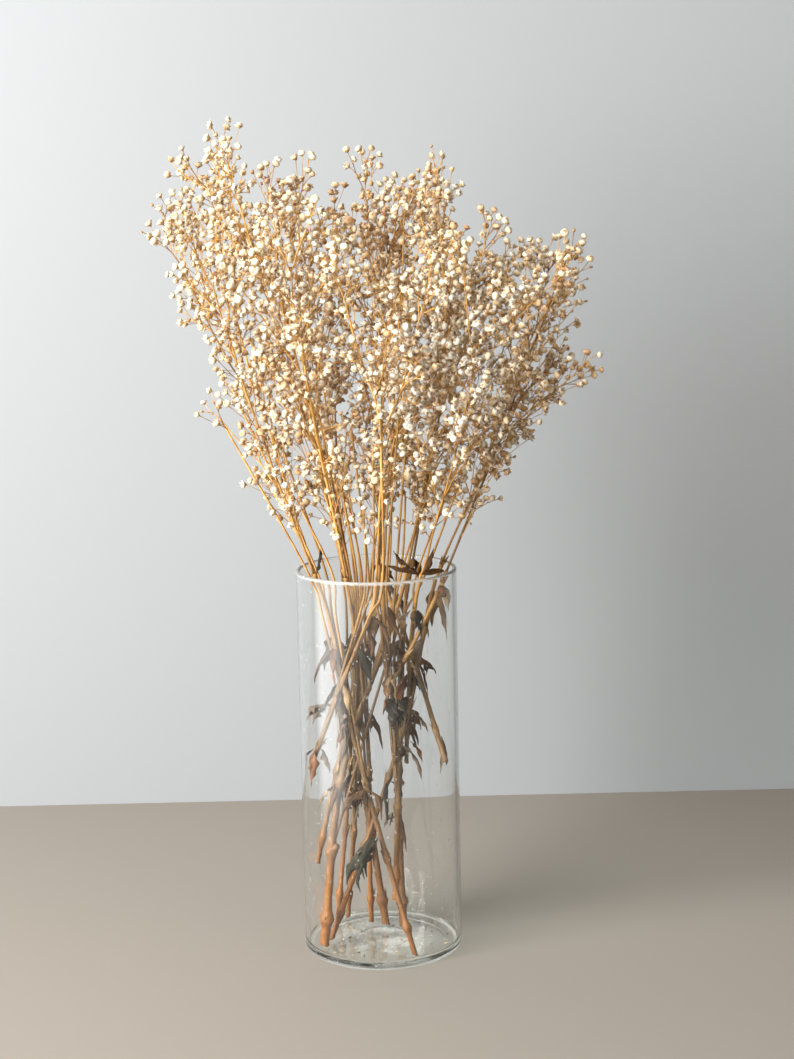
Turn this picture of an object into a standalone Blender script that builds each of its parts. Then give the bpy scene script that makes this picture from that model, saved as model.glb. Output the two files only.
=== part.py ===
"""Dried gypsophila standing in a clear glass cylinder vase.

Metres, +Z up. The origin is the centre of the vase's flat underside, and -Y is the side that is looked at.
Every stem is one body with its knuckles, twigs and blooms. Every leaf is a body of its own.
"""

import itertools
import math
import random
from dataclasses import dataclass

import bmesh
import bpy
import numpy as np
from mathutils import Matrix, Quaternion, Vector

# Vase
VASE_HEIGHT = 0.250
VASE_RADIUS = 0.051
WALL = 0.0026
FLOOR = 0.005
OUTER_CORNER = 0.0045
INNER_CORNER = 0.003
LATHE_STEPS = 48
BORE = VASE_RADIUS - WALL

# Clearances
CLEAR = 0.0004
TOUCH = 0.0003
SETTLED_GAP = 0.00064

# Bunch: above the lip each stem keeps to its own slice of a cone whose tip is on the axis at APEX_Z
APEX_Z = 0.150
STATION = 0.003
SETTLE_ROUNDS = 160
SETTLE_PUSH = 0.55
BEND_LENGTH = 0.030
STEM_RADIUS_AT_LIP = 0.0012
TAPER_POWER = 0.8
KNUCKLE_SPACING = 0.045
FIRST_KNUCKLE = 0.018
KNUCKLE_SWELL = 0.30
KNUCKLE_LENGTH = 0.0035

# Cloud of blooms: its edges in the front plane, as height and side, and its top, as side and height
LEFT_EDGE = [(0.262, -0.046), (0.333, -0.084), (0.377, -0.099), (0.421, -0.112), (0.465, -0.128), (0.490, -0.121),
             (0.525, -0.108)]
RIGHT_EDGE = [(0.262, 0.046), (0.318, 0.084), (0.348, 0.108), (0.376, 0.132), (0.428, 0.131), (0.456, 0.124),
              (0.525, 0.070)]
TOP_EDGE = [(-0.130, 0.480), (-0.100, 0.515), (-0.087, 0.522), (-0.072, 0.488), (-0.041, 0.500), (-0.010, 0.488),
            (-0.001, 0.502), (0.013, 0.478), (0.030, 0.510), (0.046, 0.492), (0.058, 0.462), (0.093, 0.464),
            (0.122, 0.454), (0.135, 0.420)]
LOWEST_TUFT = 0.282
DEPTH_SLOPE = 0.40
TOP_DROP = 0.045

# Tufts that make the tips of the photographed outline
EDGE_TUFTS = [
    (-0.117, 0.010, 0.500), (-0.088, -0.014, 0.517), (-0.062, 0.016, 0.492), (-0.040, -0.010, 0.494),
    (-0.002, 0.012, 0.499), (0.028, -0.008, 0.504), (0.044, 0.014, 0.491), (0.076, -0.018, 0.462),
    (0.097, 0.012, 0.457), (0.121, -0.010, 0.446), (0.126, 0.014, 0.420), (0.127, -0.016, 0.374),
    (0.108, 0.012, 0.350), (-0.125, -0.008, 0.464), (-0.110, 0.020, 0.424), (-0.094, -0.014, 0.384),
    (-0.102, -0.004, 0.351), (-0.086, 0.008, 0.356),
]
CLOUD_BOX = ((-0.135, 0.135), (-0.130, 0.130), (0.280, 0.530))
HEART_TOP = 0.42
HEART_SHARE = 0.5
HEART_THINNING = 0.6
TUFTS = 160
CANDIDATES = 14
OFFERS_TRIED = 8
SCATTER_ROUNDS = 220
TUFT_RADIUS = 0.0135
TUFT_FLORETS = (9, 19)
FLORET_DRAWS = 12
TOP_MARGIN = 0.0068
OUTWARD_PULL = 0.25
FLORET_SPACING = 0.0048
SLICE_MARGIN = 0.0042
PLAN_SEED = 7

# Twigs fork where their first goal has to leave them
FORK_RATIO = 1.9
FORK_SHARES = (0.30, 0.86)
TIGHT_FORK = 0.3
SHORTEST_STEP = 0.0035
LEAST_FORK_ANGLE = math.radians(16)
BLOOM_ROOM = 0.0034
LAST_FORK = (0.5, 1.3)
CLEAR_SAMPLES = (0.0, 0.2, 0.4, 0.6, 0.8, 1.0)
SIDE_TRIES = 4
FORK_LENGTH = 0.0012
ROOT_DEPTH = 0.002
ROOT_SHARE = 0.75
TWIG_RADIUS = 0.00015
TWIG_POWER = 0.42
TWIG_LEAST = 0.00042
TWIG_SIDES = 3

# Florets
PETALS = 5
PETAL_REACH = 0.0034
NOTCH_REACH = 0.0021
FLARE_HEIGHT = 0.0021
PETAL_LIFT = 0.0004
CROWN_LIFT = 0.0015

# Leaves: the belly and tip powers shape the blade's outline, and STEADY keeps a hanging blade from turning over
LEAF_THICKNESS = 0.0008
LEAF_STATIONS = 7
LEAF_TRIES = 24
LEAF_FOLD = 0.35
LEAF_STALK = 0.14
LEAF_BELLY = 0.75
LEAF_FULLNESS = 0.8
LEAF_TIP_TAPER = 0.75
LEAF_TIP_POWER = 6
STEADY = 0.02
GLASS_REACH = 0.254

# Stem tube: every RING_EVERY-th station gets a ring of points
RING_EVERY = 5


@dataclass
class Stem:
    """A cut stem: its cut end, where it passes through the bunch and where it crosses the lip."""

    name: str
    foot: tuple
    waist: tuple
    lip: tuple
    radius: float
    stands: bool = True


STEMS = [
    Stem("spray_left_back", (0.002, 0.015), (-0.020, 0.022, 0.150), (-0.042, 0.016), 0.0026),
    Stem("spray_left_front", (0.0195, -0.0385), (-0.014, -0.022, 0.135), (-0.039, -0.017), 0.0018),
    Stem("spray_mid_left", (-0.008, 0.022), (-0.009, 0.006, 0.160), (-0.021, -0.002), 0.0017),
    Stem("spray_front", (-0.0445, -0.0145, 0.122), (-0.024, -0.026, 0.178), (0.000, -0.042), 0.0015, False),
    Stem("spray_right_front", (0.0085, -0.0168, 0.180), (0.020, -0.022, 0.201), (0.0445, -0.0150), 0.0015, False),
    Stem("spray_right_back", (-0.034, -0.006), (0.017, -0.004, 0.150), (0.043, 0.016), 0.0019),
    Stem("spray_back", (0.041, -0.0215, 0.127), (0.026, 0.012, 0.179), (0.004, 0.042), 0.0017, False),
    Stem("spray_mid_right", (0.017, 0.004, 0.120), (0.019, 0.002, 0.165), (0.028, -0.026), 0.0014, False),
    Stem("spray_centre", (0.008, -0.014, 0.033), (0.011, -0.014, 0.130), (0.004, -0.018), 0.0021, False),
    Stem("spray_back_right", (0.013, 0.013), (0.012, 0.014, 0.110), (0.024, 0.024), 0.0027),
    Stem("spray_heart", (-0.0435, 0.0165, 0.050), (-0.020, 0.012, 0.150), (0.002, 0.010), 0.0019, False),
    Stem("spray_mid_back", (-0.038, -0.017), (-0.024, -0.012, 0.120), (0.020, 0.000), 0.0031),
    Stem("spray_back_left", (-0.031, 0.030), (-0.020, 0.028, 0.120), (-0.020, 0.032), 0.0017),
    Stem("spray_front_left", (-0.024, 0.033), (-0.014, 0.004, 0.140), (-0.019, -0.032), 0.0016),
]

SLOPES = np.array([stem.lip for stem in STEMS]) / (VASE_HEIGHT - APEX_Z)


@dataclass
class Leaf:
    """A dried leaf: the stem and height that it grows at, its way out, how it bends, and its size."""

    stem: int
    height: float
    azimuth: float
    rise: tuple
    length: float
    width: float
    curl: float = 0.0


LEAVES = [
    Leaf(4, 0.2490, 196, (4, 14), 0.040, 0.0062, -12),
    Leaf(7, 0.2500, 168, (40, 52), 0.022, 0.0042, 10),
    Leaf(7, 0.2495, 20, (66, 60), 0.017, 0.0046, -10),
    Leaf(1, 0.2440, 30, (84, 72), 0.018, 0.0032, 20),
    Leaf(5, 0.2400, -50, (-50, -88), 0.030, 0.0085, 20),
    Leaf(5, 0.2250, -10, (-40, -96), 0.034, 0.0045, -30),
    Leaf(6, 0.2240, 200, (-30, -100), 0.026, 0.0052, 30),
    Leaf(8, 0.2180, -80, (-55, -95), 0.032, 0.0055, -20),
    Leaf(6, 0.1850, -20, (-10, -80), 0.018, 0.0050, 60),
    Leaf(8, 0.1620, -100, (-10, -110), 0.026, 0.0085, 50),
    Leaf(7, 0.1600, -20, (-30, -120), 0.022, 0.0075, -60),
    Leaf(9, 0.1520, 20, (-20, -95), 0.024, 0.0070, 40),
    Leaf(3, 0.1600, 190, (-5, -95), 0.024, 0.0075, 40),
    Leaf(1, 0.1650, -120, (-60, -88), 0.030, 0.0045, 15),
    Leaf(1, 0.0840, -150, (-20, -98), 0.038, 0.0095, 30),
    Leaf(1, 0.1160, 200, (-10, -105), 0.024, 0.0085, -50),
    Leaf(11, 0.1050, 60, (-40, -92), 0.020, 0.0075, 30),
    Leaf(0, 0.2050, 150, (-20, -85), 0.022, 0.0050, -30),
]


# Plan of the bunch, worked out from the values above


def unit(vectors):
    """The vector, or each row of an array of them, at length one."""
    return vectors / np.linalg.norm(vectors, axis=-1, keepdims=True)


def first_route(stem, slope):
    """Stations up the stem from its cut end to the lip, on a smooth curve through the waist."""
    lip = np.array([*stem.lip, VASE_HEIGHT])
    waist = np.array(stem.waist)
    if stem.stands:
        lean = math.hypot(*(waist[:2] - stem.foot)) / waist[2]
        foot = np.array([*stem.foot, FLOOR + CLEAR + stem.radius * lean])
    else:
        foot = np.array(stem.foot)
    knots = np.array([foot, waist, lip])
    rises = np.diff(knots[:, 2])
    chords = np.diff(knots[:, :2], axis=0) / rises[:, None]
    tangents = np.array([chords[0], (chords[0] + chords[1]) / 2, slope])
    heights = np.linspace(foot[2], lip[2], round((lip[2] - foot[2]) / STATION) + 1)
    piece = np.clip(np.searchsorted(knots[:, 2], heights, side="right") - 1, 0, 1)
    t = ((heights - knots[piece, 2]) / rises[piece])[:, None]
    rise = rises[piece][:, None]
    sideways = (
        (1 + 2 * t) * (1 - t) ** 2 * knots[piece, :2]
        + t * (1 - t) ** 2 * rise * tangents[piece]
        + t**2 * (3 - 2 * t) * knots[piece + 1, :2]
        + t**2 * (t - 1) * rise * tangents[piece + 1]
    )
    return np.column_stack([sideways, heights])


def stem_radii(stem, route):
    """Radius at each station: it tapers to the lip, and swells at each knuckle."""
    share = (route[:, 2] - route[0, 2]) / (route[-1, 2] - route[0, 2])
    taper = stem.radius + (STEM_RADIUS_AT_LIP - stem.radius) * share**TAPER_POWER
    past_middle = route[:, 2] - route[0, 2] - FIRST_KNUCKLE + KNUCKLE_SPACING / 2
    from_knuckle = np.abs(past_middle % KNUCKLE_SPACING - KNUCKLE_SPACING / 2)
    return taper * (1 + KNUCKLE_SWELL * np.exp(-((from_knuckle / KNUCKLE_LENGTH) ** 2)))


def keep_in_bore(route, radii):
    """Moves stations inwards that come too near the glass."""
    limit = np.where(route[:, 2] < FLOOR + 2 * INNER_CORNER, BORE - INNER_CORNER, BORE) - radii - CLEAR
    reach = np.linalg.norm(route[:, :2], axis=1)
    route[:, :2] *= np.minimum(1, limit / reach)[:, None]


def settled_routes():
    """The stems' routes, pressed apart sideways until no two touch, as they lie in a bunch."""
    routes = [first_route(stem, slope) for stem, slope in zip(STEMS, SLOPES)]
    radii = [stem_radii(stem, route) for stem, route in zip(STEMS, routes)]
    for _ in range(SETTLE_ROUNDS):
        shoves = [np.zeros_like(route) for route in routes]
        for i, j in itertools.combinations(range(len(routes)), 2):
            between = routes[i][:, None] - routes[j][None]
            distance = np.linalg.norm(between, axis=2)
            short = radii[i][:, None] + radii[j][None] + SETTLED_GAP - distance
            a, b = np.unravel_index(short.argmax(), short.shape)
            if short[a, b] <= 0:
                continue
            way = between[a, b] * (1, 1, 0)
            way *= SETTLE_PUSH * short[a, b] / np.linalg.norm(way)
            for shove, route, at, sign in ((shoves[i], routes[i], a, 1), (shoves[j], routes[j], b, -1)):
                share = np.exp(-(((route[:, 2] - route[at, 2]) / BEND_LENGTH) ** 2))
                shove += sign * share[:, None] * way
        for route, shove, radius in zip(routes, shoves, radii):
            route += shove
            keep_in_bore(route, radius)
    return routes, radii


def slice_of(point):
    """The number of the stem whose slice the point is in."""
    return int(np.linalg.norm(SLOPES - point[:2] / (point[2] - APEX_Z), axis=1).argmin())


def into_slice(points, k):
    """The points, each moved towards stem k's own line until it is clear of the slices of the other stems."""
    points = np.array(points)
    heights = points[:, 2:] - APEX_Z
    slopes = points[:, :2] / heights
    others = np.delete(SLOPES, k, axis=0)
    apart = np.linalg.norm(others - SLOPES[k], axis=1)
    to_others = np.linalg.norm(slopes[:, None] - others[None], axis=2)
    to_own = np.linalg.norm(slopes - SLOPES[k], axis=1)[:, None]
    here = (to_others**2 - to_own**2) / (2 * apart) * heights
    on_line = apart / 2 * heights
    short = here < SLICE_MARGIN
    shares = np.where(short, (SLICE_MARGIN - here) / np.where(short, on_line - here, 1), 0).max(axis=1)
    points[:, :2] += np.minimum(shares, 1)[:, None] * (SLOPES[k] * heights - points[:, :2])
    return points


def in_cloud(point):
    """Whether a point lies inside the cloud of blooms."""
    side, depth, height = point
    left = np.interp(height, *zip(*LEFT_EDGE))
    right = np.interp(height, *zip(*RIGHT_EDGE))
    middle, half = (left + right) / 2, (right - left) / 2
    deep = DEPTH_SLOPE * (height - APEX_Z)
    round_share = ((side - middle) / half) ** 2 + (depth / deep) ** 2
    top = np.interp(side, *zip(*TOP_EDGE)) - TOP_DROP * (depth / deep) ** 2
    return round_share < 1 and LOWEST_TUFT < height < top - TOP_MARGIN


def tuft_florets(centre, k, number):
    """Where the florets of one tuft sit: the first at its centre, the rest spread round it, the outermost first."""
    draw = np.random.default_rng((PLAN_SEED, k, number))
    wanted = draw.integers(*TUFT_FLORETS)
    outwards = unit(centre - (0, 0, APEX_Z))
    ways = unit(draw.normal(size=(FLORET_DRAWS * wanted, 3))) + OUTWARD_PULL * outwards
    reaches = TUFT_RADIUS * draw.random(len(ways)) ** 0.5
    florets = centre[None]
    for point in into_slice(centre + reaches[:, None] * ways, k):
        if len(florets) < wanted and np.linalg.norm(florets - point, axis=1).min() > FLORET_SPACING:
            florets = np.vstack([florets, point])
    order = 1 + np.argsort(-np.linalg.norm(florets[1:] - (0, 0, APEX_Z), axis=1))
    return florets[[0, *order]]


@dataclass
class Twig:
    """A branch through its forks to its bloom: how many florets each point carries on, and the shoot at each fork."""

    points: list
    loads: list
    shoots: list

    def and_shoots(self):
        """This twig and all that grow from it."""
        return [self] + [twig for shoot in self.shoots for twig in shoot.and_shoots()]


def fork_point(start, places):
    """Where a twig on its way to these places has to fork."""
    axis = unit(places.mean(axis=0) - start)
    along = (places - start) @ axis
    across = np.linalg.norm(places - start - along[:, None] * axis, axis=1)
    leaves_at = (along - FORK_RATIO * across).min()
    room = max(along.min(), TIGHT_FORK * np.linalg.norm(places - start, axis=1).min())
    near, far = (share * room for share in FORK_SHARES)
    return start + axis * max(min(max(leaves_at, near), far), SHORTEST_STEP)


def split_goals(start, fork, tufts):
    """The tufts that go on past a fork, and those that the shoot takes there, each on its own side of a plane."""
    headings = unit(np.array([tuft[0] for tuft in tufts]) - fork)
    first = (headings @ unit(fork - start)).argmin()
    onwards = unit(np.delete(headings, first, axis=0).sum(axis=0))
    leaves = headings @ headings[first] > headings @ onwards
    leaves[first] = True
    leaves[(headings @ headings[first]).argmin()] &= not leaves.all()
    return [[tuft for tuft, out in zip(tufts, leaves) if out == side] for side in (False, True)]


def grow(start, tufts):
    """The twig from the start to one of the tufts. At each fork a shoot leaves it, with a share of the rest."""
    twig = Twig([start], [], [])
    while len(tufts) > 1:
        start = twig.points[-1]
        fork = fork_point(start, np.array([tuft[0] for tuft in tufts]))
        twig.points.append(fork)
        twig.loads.append(sum(len(tuft) for tuft in tufts))
        tufts, rest = split_goals(start, fork, tufts)
        twig.shoots.append(grow(fork, rest))
    florets = tufts[0]
    last, end, side = twig.points[-1], florets[0], florets[1]
    back = min(LAST_FORK[0] * np.linalg.norm(end - last), LAST_FORK[1] * np.linalg.norm(side - end))
    fork = end - back * unit(end - last)
    twig.points += [fork, end]
    twig.loads += [len(florets), 1]
    twig.shoots.append(Twig([fork, side], [1], []))
    return twig


def twig_radius(florets):
    """Radius of a twig that carries so many florets."""
    return max(TWIG_RADIUS * florets**TWIG_POWER, TWIG_LEAST)


def distance_to_lines(points, starts, ends):
    """Distance from each point to each line between a start and an end."""
    along = ends - starts
    t = np.einsum("pls,ls->pl", points[:, None] - starts, along) / (along**2).sum(axis=1)
    nearest = starts + np.clip(t, 0, 1)[..., None] * along
    return np.linalg.norm(points[:, None] - nearest, axis=2)


def is_clear(crown):
    """Whether the crown's blooms keep clear of its other twigs and blooms, and its twigs part at wide enough angles."""
    twigs = crown.and_shoots()
    starts = np.array([point for twig in twigs for point in twig.points[:-1]])
    ends = np.array([point for twig in twigs for point in twig.points[1:]])
    ways = unit(ends - starts)
    together = np.linalg.norm(starts[:, None] - starts[None], axis=2) < TOUCH
    np.fill_diagonal(together, False)
    if ((ways @ ways.T)[together] > math.cos(LEAST_FORK_ANGLE)).any():
        return False
    thick = np.array([twig_radius(load) for twig in twigs for load in twig.loads])
    blooms = np.array([twig.points[-1] for twig in twigs])
    own = np.linalg.norm(blooms[:, None] - ends[None], axis=2) < TOUCH
    room = distance_to_lines(blooms, starts, ends) - thick
    between = np.linalg.norm(blooms[:, None] - blooms[None], axis=2) + np.eye(len(blooms))
    if room[~own].min() < BLOOM_ROOM or between.min() < 2 * BLOOM_ROOM:
        return False
    follows = np.linalg.norm(ends[:, None] - starts[None], axis=2) < TOUCH
    joined = together | follows | follows.T | np.eye(len(starts), dtype=bool)
    for share in CLEAR_SAMPLES:
        room = distance_to_lines(starts + share * (ends - starts), starts, ends) - thick - thick[:, None]
        if room[~joined].min(initial=CLEAR) < CLEAR:
            return False
    return True


def with_tuft(top, tufts, centre, k):
    """A stem's tufts with a new one at this centre, or None if its crown would then cross itself."""
    florets = tuft_florets(centre, k, len(tufts))
    for number in range(1, min(len(florets), SIDE_TRIES + 1)):
        florets[[1, number]] = florets[[number, 1]]
        if is_clear(grow(top, [*tufts, florets])):
            return [*tufts, florets]
    return None


def places_offered(draw, taken):
    """Places in the cloud for one more tuft, each with its stem, the one furthest from the tufts there first."""
    places = []
    while len(places) < CANDIDATES:
        point = np.array([draw.uniform(*reach) for reach in CLOUD_BOX])
        inner = math.hypot(*point[:2]) / (point[2] - APEX_Z) < HEART_SHARE * DEPTH_SLOPE and point[2] < HEART_TOP
        if in_cloud(point) and not (inner and draw.random() < HEART_THINNING):
            places.append(into_slice([point], slice_of(point))[0])
    return sorted(places, key=lambda place: -np.linalg.norm(np.array(taken) - place, axis=1).min())


def scatter_tufts(tops):
    """The tufts of each stem's crown, as arrays of florets: the named ones, then others spread through the cloud."""
    draw = random.Random(PLAN_SEED)
    owned = [[] for _ in STEMS]
    taken = []
    for number in range(len(EDGE_TUFTS) + SCATTER_ROUNDS):
        if number < len(EDGE_TUFTS):
            place = np.array(EDGE_TUFTS[number])
            places = into_slice([place], slice_of(place))
        else:
            places = places_offered(draw, taken)[:OFFERS_TRIED]
        for place in places:
            k = slice_of(place)
            tufts = with_tuft(tops[k], owned[k], place, k)
            if tufts and len(taken) < TUFTS:
                owned[k] = tufts
                taken.append(place)
                break
    return owned


def ring_stations(route):
    """The stations of a route where its tube has a ring of points."""
    return [*range(0, len(route) - RING_EVERY // 2, RING_EVERY), len(route) - 1]


def leaf_rib(leaf, route, radii, turn):
    """The middle line of a leaf that leaves its stem turned by so many degrees from where it is wanted."""
    at = min(ring_stations(route), key=lambda station: abs(route[station, 2] - leaf.height))
    azimuth = math.radians(leaf.azimuth + turn)
    out = np.array([math.cos(azimuth), math.sin(azimuth), 0])
    points = [route[at] + out * (radii[at] + TOUCH + LEAF_THICKNESS / 2)]
    step = leaf.length / (LEAF_STATIONS - 1)
    for share in np.linspace(0, 1, LEAF_STATIONS)[:-1]:
        rise = math.radians(leaf.rise[0] + (leaf.rise[1] - leaf.rise[0]) * share)
        around = azimuth + math.radians(leaf.curl) * share
        way = (math.cos(rise) * math.cos(around), math.cos(rise) * math.sin(around), math.sin(rise))
        points.append(points[-1] + step * np.array(way))
    return np.array(points)


def leaf_half_widths(leaf):
    """Half the leaf's width at each station: narrow at the stalk, widest a third of the way out, and pointed."""
    share = np.linspace(0, 1, LEAF_STATIONS)
    swell = LEAF_STALK + (1 - LEAF_STALK) * np.sin(math.pi * share**LEAF_BELLY) ** LEAF_FULLNESS
    return leaf.width / 2 * swell * (1 - LEAF_TIP_TAPER * share**LEAF_TIP_POWER)


def place_leaves(routes, radii, twigs):
    """A middle line for each leaf, turned round its stem as little as lets it hang clear of all the rest."""
    starts = [route[:-1] for route in routes]
    ends = [route[1:] for route in routes]
    thick = [radius[1:] for radius in radii]
    for twig in twigs:
        starts.append(np.array(twig.points[:-1]))
        ends.append(np.array(twig.points[1:]))
        thick.append(np.array([twig_radius(load) for load in twig.loads]))
    starts, ends, thick = np.concatenate(starts), np.concatenate(ends), np.concatenate(thick)
    placed = []
    for leaf in LEAVES:
        half = leaf_half_widths(leaf) + LEAF_THICKNESS / 2
        best = None
        for n in range(LEAF_TRIES):
            turn = (n + 1) // 2 * (-1) ** n * 360 / LEAF_TRIES
            rib = leaf_rib(leaf, routes[leaf.stem], radii[leaf.stem], turn)
            room = (distance_to_lines(rib[1:], starts, ends) - thick).min(axis=1) - half[1:]
            to_glass = BORE - np.linalg.norm(rib[1:, :2], axis=1) - half[1:]
            room = np.minimum(room, np.where(rib[1:, 2] < GLASS_REACH, to_glass, room))
            for other, other_half in placed:
                apart = np.linalg.norm(rib[1:, None] - other[None], axis=2)
                room = np.minimum(room, (apart - other_half[None]).min(axis=1) - half[1:])
            if best is None or room.min() > best[0]:
                best = (room.min(), rib)
            if best[0] > CLEAR:
                break
        placed.append((best[1], half))
    return [rib for rib, _ in placed]


# Blender helpers


def clear_scene():
    for obj in list(bpy.data.objects):
        bpy.data.objects.remove(obj)


def new_collection(name):
    collection = bpy.data.collections.new(name)
    bpy.context.scene.collection.children.link(collection)
    return collection


def material(name, colour, roughness, metallic=0.0, transmission=0.0):
    made = bpy.data.materials.new(name)
    made.use_nodes = True
    shader = made.node_tree.nodes["Principled BSDF"]
    shader.inputs["Base Color"].default_value = (*colour, 1)
    shader.inputs["Roughness"].default_value = roughness
    shader.inputs["Metallic"].default_value = metallic
    shader.inputs["Transmission Weight"].default_value = transmission
    return made


def add_object(name, mesh, collection, finish=None):
    obj = bpy.data.objects.new(name, mesh)
    collection.objects.link(obj)
    if finish:
        mesh.materials.append(finish)
    return obj


def mesh_from(bm, name):
    mesh = bpy.data.meshes.new(name)
    bm.to_mesh(mesh)
    bm.free()
    return mesh


def along_z_to(start, end):
    """The placing that takes a shape centred on the Z axis to lie from start to end."""
    way = Vector(end) - Vector(start)
    middle = (Vector(start) + Vector(end)) / 2
    return Matrix.Translation(middle) @ way.to_track_quat("Z", "Y").to_matrix().to_4x4()


# Vase


def corner(centre, radius, first, last, steps):
    """Points of a round corner in the profile, in degrees from its outward side."""
    angles = np.radians(np.linspace(first, last, steps))
    return [(centre[0] + radius * math.cos(a), centre[1] + radius * math.sin(a)) for a in angles]


def vase_profile():
    """The turned section, down its outer side from the rim, under the base and up the bore."""
    rim = WALL / 2
    outer = corner((VASE_RADIUS - rim, VASE_HEIGHT - rim), rim, 90, 0, 4)
    foot = corner((VASE_RADIUS - OUTER_CORNER, OUTER_CORNER), OUTER_CORNER, 0, -90, 4)
    floor = corner((BORE - INNER_CORNER, FLOOR + INNER_CORNER), INNER_CORNER, -90, 0, 3)
    lip = corner((VASE_RADIUS - rim, VASE_HEIGHT - rim), rim, 180, 90, 4)[:-1]
    return [*outer, *foot, (0, 0), (0, FLOOR), *floor, *lip]


def build_vase(collection, finish):
    profile = vase_profile()
    bm = bmesh.new()
    points = [bm.verts.new((side, 0, height)) for side, height in profile]
    for a, b in zip(points, points[1:] + points[:1]):
        if a.co.x or b.co.x:
            bm.edges.new((a, b))
    vase = add_object("glass_vase", mesh_from(bm, "glass_vase"), collection, finish)
    lathe = vase.modifiers.new("Lathe", "SCREW")
    lathe.steps = lathe.render_steps = LATHE_STEPS
    lathe.use_merge_vertices = True
    lathe.merge_threshold = 0.00001
    lathe.use_smooth_shade = True


# Sprays


def tube_mesh(name, points, radii):
    """A closed six-sided tube through the points, with a radius at each."""
    curve = bpy.data.curves.new(name, "CURVE")
    curve.dimensions = "3D"
    curve.bevel_depth = 1.0
    curve.bevel_resolution = 1
    curve.use_fill_caps = True
    spline = curve.splines.new("POLY")
    spline.points.add(len(points) - 1)
    for spot, place, radius in zip(spline.points, points, radii):
        spot.co = (*place, 1)
        spot.radius = radius
    guide = bpy.data.objects.new(name, curve)
    bpy.context.scene.collection.objects.link(guide)
    mesh = bpy.data.meshes.new_from_object(guide.evaluated_get(bpy.context.evaluated_depsgraph_get()))
    bpy.data.objects.remove(guide)
    bm = bmesh.new()
    bm.from_mesh(mesh)
    bmesh.ops.remove_doubles(bm, verts=bm.verts, dist=0.00001)
    bm.to_mesh(mesh)
    bm.free()
    return mesh


def extrude_to(bm, cap, point, way, radius, facing=None):
    """Extrudes the end face to an even ring round the point, turned so that a side of it looks where facing does."""
    cap = bmesh.ops.extrude_discrete_faces(bm, faces=[cap])["faces"][0]
    corners = len(cap.verts)
    across = way.orthogonal().normalized()
    up = way.cross(across)
    out = cap.verts[0].co - cap.calc_center_median()
    first = math.atan2(out.dot(up), out.dot(across))
    if facing is not None:
        wanted = math.atan2(facing.dot(up), facing.dot(across)) + math.pi / corners
        first = wanted + math.tau / corners * round((first - wanted) * corners / math.tau)
    for number, spot in enumerate(cap.verts):
        angle = first + math.tau * number / corners
        spot.co = point + radius * (math.cos(angle) * across + math.sin(angle) * up)
    return cap


def open_bloom(bm, cap, middle, way, draw):
    """Ends a twig in a cup of pointed petals with a raised crown."""
    base = middle - FLARE_HEIGHT / 2 * way
    cap = extrude_to(bm, cap, base, way, TWIG_LEAST)
    hole = list(cap.edges)
    bm.faces.remove(cap)
    star = bmesh.ops.create_circle(bm, cap_ends=True, segments=2 * PETALS, radius=1)["verts"]
    turn = way.to_track_quat("Z", "Y") @ Quaternion((0, 0, 1), draw.uniform(0, math.tau))
    for number, spot in enumerate(star):
        reach, lift = (NOTCH_REACH, 0.0) if number % 2 else (PETAL_REACH, PETAL_LIFT)
        spot.co = base + turn @ Vector((reach * spot.co.x, reach * spot.co.y, FLARE_HEIGHT + lift))
    top = star[0].link_faces[0]
    bmesh.ops.bridge_loops(bm, edges=hole + list(top.edges))
    crown = bmesh.ops.poke(bm, faces=[top])["verts"][0]
    crown.co = base + (FLARE_HEIGHT + CROWN_LIFT) * way


def extrude_twig(bm, cap, twig, draw):
    """Draws a twig out of a face, with a short knuckle at each fork, out of whose side the shoot is drawn."""
    points = [Vector(point) for point in twig.points]
    ways = [(b - a).normalized() for a, b in zip(points, points[1:])]
    for number, shoot in enumerate(twig.shoots, 1):
        before, after = ways[number - 1 : number + 1]
        facing = (Vector(shoot.points[1]) - points[number]).normalized()
        half = FORK_LENGTH / 2
        cap = extrude_to(bm, cap, points[number] - half * before, before, twig_radius(twig.loads[number - 1]), facing)
        cap = extrude_to(bm, cap, points[number] + half * after, after, twig_radius(twig.loads[number]), facing)
        bm.normal_update()
        sides = [face for edge in cap.edges for face in edge.link_faces if face is not cap]
        side = max(sides, key=lambda face: face.normal.dot(facing))
        halves = [side, bmesh.utils.face_split(side, side.verts[1], side.verts[3])[0]]
        extrude_twig(bm, min(halves, key=lambda face: face.calc_center_median().dot(after)), shoot, draw)
    open_bloom(bm, cap, points[-1], ways[-1], draw)


def crown_mesh(twig, radius, draw):
    """All the twigs and blooms of a spray, drawn out of one root that is sunk into the top of its stem."""
    bm = bmesh.new()
    root, fork = (Vector(point) for point in twig.points[:2])
    bmesh.ops.create_cone(bm, cap_ends=True, segments=TWIG_SIDES, radius1=radius, radius2=radius,
                          depth=ROOT_DEPTH, matrix=along_z_to(root - ROOT_DEPTH * (fork - root).normalized(), root))
    way = fork - root
    cap = max(bm.faces, key=lambda face: face.calc_center_median().dot(way))
    extrude_twig(bm, cap, twig, draw)
    bmesh.ops.triangulate(bm, faces=bm.faces)
    bmesh.ops.recalc_face_normals(bm, faces=bm.faces)
    return mesh_from(bm, "crown")


def keep_largest_body(mesh):
    """Drops scraps and sealed hollows that the join leaves behind."""
    bm = bmesh.new()
    bm.from_mesh(mesh)
    left = set(bm.verts)
    bodies = []
    while left:
        body = set()
        edge_of_body = [left.pop()]
        while edge_of_body:
            spot = edge_of_body.pop()
            body.add(spot)
            fresh = {edge.other_vert(spot) for edge in spot.link_edges} & left
            left -= fresh
            edge_of_body.extend(fresh)
        bodies.append(body)
    bodies.sort(key=len)
    bmesh.ops.delete(bm, geom=[spot for body in bodies[:-1] for spot in body], context="VERTS")
    bm.to_mesh(mesh)
    bm.free()


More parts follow.
